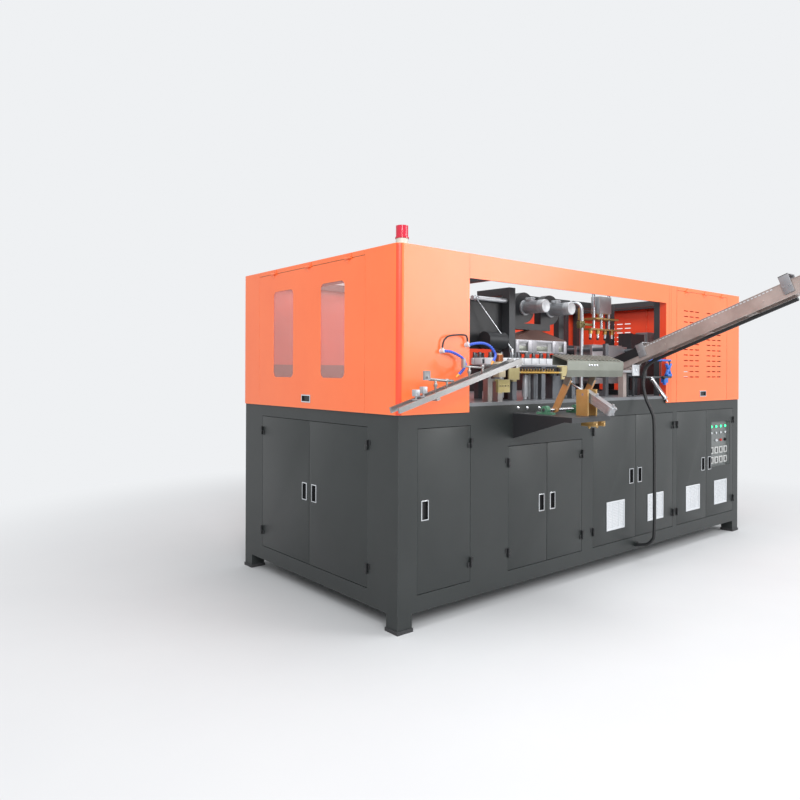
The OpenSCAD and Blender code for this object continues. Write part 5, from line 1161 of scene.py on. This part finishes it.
# %% Lips, wear strips and straps
chute_carrier = (Matrix.Translation(on_machine(2250, 131, 1516))
                 @ Matrix.Rotation(math.radians(-20.9), 4, "X"))
lips = [soften(block_at("lip", (x0, -1388, z0), (x1, -190, z0 + 3)), 0.0008, 2)
        for x0, x1 in ((-47, -41), (41, 47)) for z0 in (-3, -98)]
lips += [soften(block_at("stud", (-44.5, -d - 5, -62), (-41, -d + 5, -52)), 0.0012, 2)
         for d in (420, 800, 1130)]
fit("chute_lips", lips, chute_steel, carrier=chute_carrier)
strips = [block_at("strip", (-43.4, -d - 15, -15), (-41.8, -d, -8)) for d in range(240, 1210, 25)]
fit("wear_strips", strips, white_plastic, carrier=chute_carrier)
straps = []
for start, length, high in ((205, 60, 26), (1262, 62, 44)):
    for x0, x1 in ((-53, -46.5), (46.5, 53)):
        straps.append(soften(block_at("side", (x0, -start - length, -76), (x1, -start, high)), 0.0012, 2))
    straps.append(soften(block_at("bridge", (-53, -start - length, high - 6), (53, -start, high)), 0.0012, 2))
    for x0, x1 in ((-47.5, -41), (41, 47.5)):
        straps.append(soften(block_at("pad", (x0, -start - length + 8, -60), (x1, -start - 8, -30)), 0.0012, 2))
    for across in (12, length - 12):
        straps.append(disc(6, 6, (-55, -start - across, -30), 6, (0, math.pi / 2, 0)))
fit("chute_straps", straps, oven_steel, carrier=chute_carrier)
print("chute dressed with", len(lips) + len(strips) + len(straps), "parts")

# %% [markdown]
# ## Take-out tray
# The tray's top carries a comb of thin fingers between which the bottles' necks hang, and its front
# has four small bright pads. Both move with the arm.

# %% Comb and pads
comb_carrier = (Matrix.Translation(on_machine(990, -354.7, 1479.9))
                @ Matrix.Rotation(math.radians(18.1), 4, "X"))
finger_pitch = 40.5
fingers = [soften(block_at("finger", (12 + finger_pitch * k, 4, -0.6), (26 + finger_pitch * k, 112, 7)),
                  0.0015, 2) for k in range(14)]
fit("tray_comb", fingers, tray_steel, "swing_arm", carrier=comb_carrier)
# Thin dark plates between the fingers are painted shade for the slots between them.
gaps = [block_at("gap", (28 + finger_pitch * k, 22, -0.8), (50 + finger_pitch * k, 104, 0.7))
        for k in range(13)]
fit("comb_gap_shade", gaps, frame_grey, "swing_arm", carrier=comb_carrier)
pads = [slab("pad", (1196 + 27 * k, -358, 1449), (1214 + 27 * k, -354, 1461), edge=1.2) for k in range(4)]
fit("tray_pads", pads, chrome, "swing_arm")

# %% [markdown]
# The air cylinder ends in a cast cap with the nuts of four tie rods, and carries two ports.

# %% Cylinder cap and ports
ram_carrier = (Matrix.Translation(on_machine(1098.5, -415, 1282))
               @ Matrix.Rotation(math.radians(29.34), 4, "X"))
cap = [soften(block_at("cap", (-27, -196, -27), (27, -166, 27)), 0.003, 3)]
for x in (-19, 19):
    for z in (-19, 19):
        cap.append(disc(5, 6, (x, -198.5, z), 20, (math.pi / 2, 0, 0)))
cap += [soften(disc(7, 18, (0, y, 33)), 0.001, 2) for y in (-181, -60)]
fit("cylinder_cap", cap, mould_alu, "swing_cylinder", carrier=ram_carrier)

# %% [markdown]
# ## Oven front and the parts under the deck
# Silver posts and rails frame the oven's three recesses. Under the deck hangs a row of small
# brass and black fittings, and three silver air reservoirs stand behind the first columns.

# %% Oven frame
frame_bars = [slab("post", (x0, 241, 1546), (x1, 251, 1633), edge=1.5)
              for x0, x1 in ((1226, 1258), (1352, 1440), (1616, 1688), (1748, 1778))]
frame_bars += [slab("rail", (1226, 244, 1618), (1778, 251, 1633), edge=1.2),
               slab("rail", (1226, 244, 1546), (1778, 251, 1556), edge=1.2),
               slab("groove", (1392, 238, 1550), (1400, 242, 1630), edge=0.8),
               slab("groove", (1648, 238, 1550), (1656, 242, 1630), edge=0.8)]
oven_frame = finish("oven_frame", "B6B5BA", "9E9DA2", "D4D4D8", metal=0.4, rough=(0.3, 0.45), clouds=8)
fit("oven_frame", frame_bars, oven_frame)
panels = [slab("panel", (x0, 252, 1556), (x1, 255.5, 1592), edge=0.8)
          for x0, x1 in ((1262, 1350), (1442, 1612), (1690, 1746))]
fit("oven_panels", panels, tray_steel)

# %% Fittings under the deck
brass, black = [], []
for k in range(13):
    x = 1122 + 29 * k
    brass += [rod("socket", (x, 128, 1420), (x, 128, 1436), 8, 18, edge=1),
              rod("drop", (x, 128, 1406), (x, 128, 1422), 4.5, 14)]
    black.append(rod("plug", (x + 14, 122, 1424), (x + 14, 122, 1436), 7, 18, edge=0.8))
fit("deck_sockets", brass, gold_plate)
black.append(slab("rail", (1112, 116, 1434), (1498, 142, 1440), edge=1))
fit("deck_plugs", black, black_plastic)
tanks = []
for x, y, high in ((1258, 190, 1392), (1330, 215, 1400), (1004, 180, 1380)):
    tanks += [rod("tank", (x, y, 1244), (x, y, high), 21, 32, edge=4),
              rod("tank_foot", (x, y, 1230), (x, y, 1246), 14, 24, edge=1),
              rod("tank_neck", (x, y, high - 2), (x, y, high + 16), 8, 20, edge=1)]
fit("air_reservoirs", tanks, motor_silver)
bolts = []
for x, z in ((965, 1188), (1051, 1186), (1169, 1182)):
    bolts += [rod("boss", (x, -3, z), (x, 0.5, z), 11, 28, edge=1),
              rod("bolt", (x, -9, z), (x, -3, z), 7, 6, edge=0.8)]
fit("rail_bolts", bolts, chrome)
print("oven front and deck fittings ready")

# %% [markdown]
# Sheet panels meet in seams. On the hood's front and back a thin shadow line marks each place
# where one panel ends: a narrow strip half a millimetre proud of the sheet, whose darker red is painted shadow.

# %% Seams of the hood
seams = [slab("seam", (x - w, -15.5, z0), (x + w, -14.7, z1), edge=0)
         for x, w, z0, z1 in ((520.5, 0.9, 1960, 2098), (2742, 1.1, 1180, 2098), (2772, 0.8, 1180, 2098),
                              (2857, 0.9, 1180, 2068), (3716, 0.9, 1180, 2068))]
rear_seam, rear_panel = 520.5, 798.9
for k in range(5):
    x = rear_seam + k * rear_panel
    seams.append(slab("seam", (x - 1.1, 1764.7, 1180), (x + 1.1, 1765.5, 2098), edge=0))
# The seams' darker red is a painted shadow line.
seam_painted_shadow = finish("seam_painted_shadow", "C9502F", "BA4526", "DD7A5A", rough=(0.4, 0.55), wear_and_highlight_amount=0)
fit("hood_seams", seams, seam_painted_shadow)
print("seams", len(seams))

# %% [markdown]
# ## Studio
# The machine stands on a pale floor in an even white room. A broad lamp on the left is the key,
# a weaker one on the right opens the shadows, and one above lights the hood. The floor keeps the
# machine's shadow near it and turns to plain white further out, so that no horizon shows.

# %% Lights
def lamp(name, place, aim, size, power):
    light = bpy.data.lights.new(name, "AREA")
    light.shape, light.size, light.energy = "DISK", size, power
    thing = bpy.data.objects.new(name, light)
    bpy.context.scene.collection.objects.link(thing)
    thing.location = place
    thing.rotation_mode = "QUATERNION"
    thing.rotation_quaternion = (Vector(place) - Vector(aim)).to_track_quat("Z", "Y")


lamp("key_lamp", (-6.0, -6.5, 5.5), (0, 0, 1.2), 4.5, 520)
lamp("fill_lamp", (4.5, -7.0, 3.6), (0.6, 0, 1.2), 4.0, 260)
lamp("top_lamp", (0, -1.0, 6.5), (0, 0, 1), 5.0, 260)
world = bpy.data.worlds.new("white_room")
bpy.context.scene.world = world
world.use_nodes = True
tree = world.node_tree
sky = tree.nodes["Background"]
sky.inputs["Color"].default_value, sky.inputs["Strength"].default_value = (1, 1, 1, 1), 0.55
room = tree.nodes.new("ShaderNodeBackground")
backdrop = (0.863, 0.878, 0.896, 1)
room.inputs["Color"].default_value = backdrop
seen = tree.nodes.new("ShaderNodeLightPath").outputs
looked_at = math_step(tree, "MAXIMUM", seen["Is Camera Ray"], seen["Is Transmission Ray"])
choose = tree.nodes.new("ShaderNodeMixShader")
tree.links.new(math_step(tree, "MAXIMUM", looked_at, seen["Is Glossy Ray"]), choose.inputs[0])
tree.links.new(sky.outputs[0], choose.inputs[1])
tree.links.new(room.outputs[0], choose.inputs[2])
tree.links.new(choose.outputs[0], tree.nodes["World Output"].inputs["Surface"])
bpy.context.scene.view_settings.view_transform = "Standard"

# %% Floor
nothing_selected()
bpy.ops.mesh.primitive_plane_add(size=60, location=(0, 0, 0))
floor = bpy.context.active_object
floor.name = "studio_floor"
pale, tree, shader, place = new_material("pale_floor")
shader.inputs["Roughness"].default_value = 0.7
tree.links.new(blend_colour(tree, add_group(tree, mottle, place, None, Scale=1.5, Contrast=1.0),
                            shade("D4D6D8"), shade("CED0D3")), shader.inputs["Base Color"])
far_off = tree.nodes.new("ShaderNodeVectorMath")
far_off.operation = "LENGTH"
tree.links.new(place, far_off.inputs[0])
fade = tree.nodes.new("ShaderNodeMapRange")
fade.interpolation_type = "SMOOTHSTEP"
fade.inputs["From Min"].default_value, fade.inputs["From Max"].default_value = 2.6, 5.5
tree.links.new(far_off.outputs["Value"], fade.inputs["Value"])
glow = tree.nodes.new("ShaderNodeEmission")
glow.inputs["Color"].default_value = backdrop
both = tree.nodes.new("ShaderNodeMixShader")
tree.links.new(fade.outputs["Result"], both.inputs[0])
tree.links.new(shader.outputs[0], both.inputs[1])
tree.links.new(glow.outputs[0], both.inputs[2])
tree.links.new(both.outputs[0], tree.nodes["Material Output"].inputs["Surface"])
wear(floor, pale)
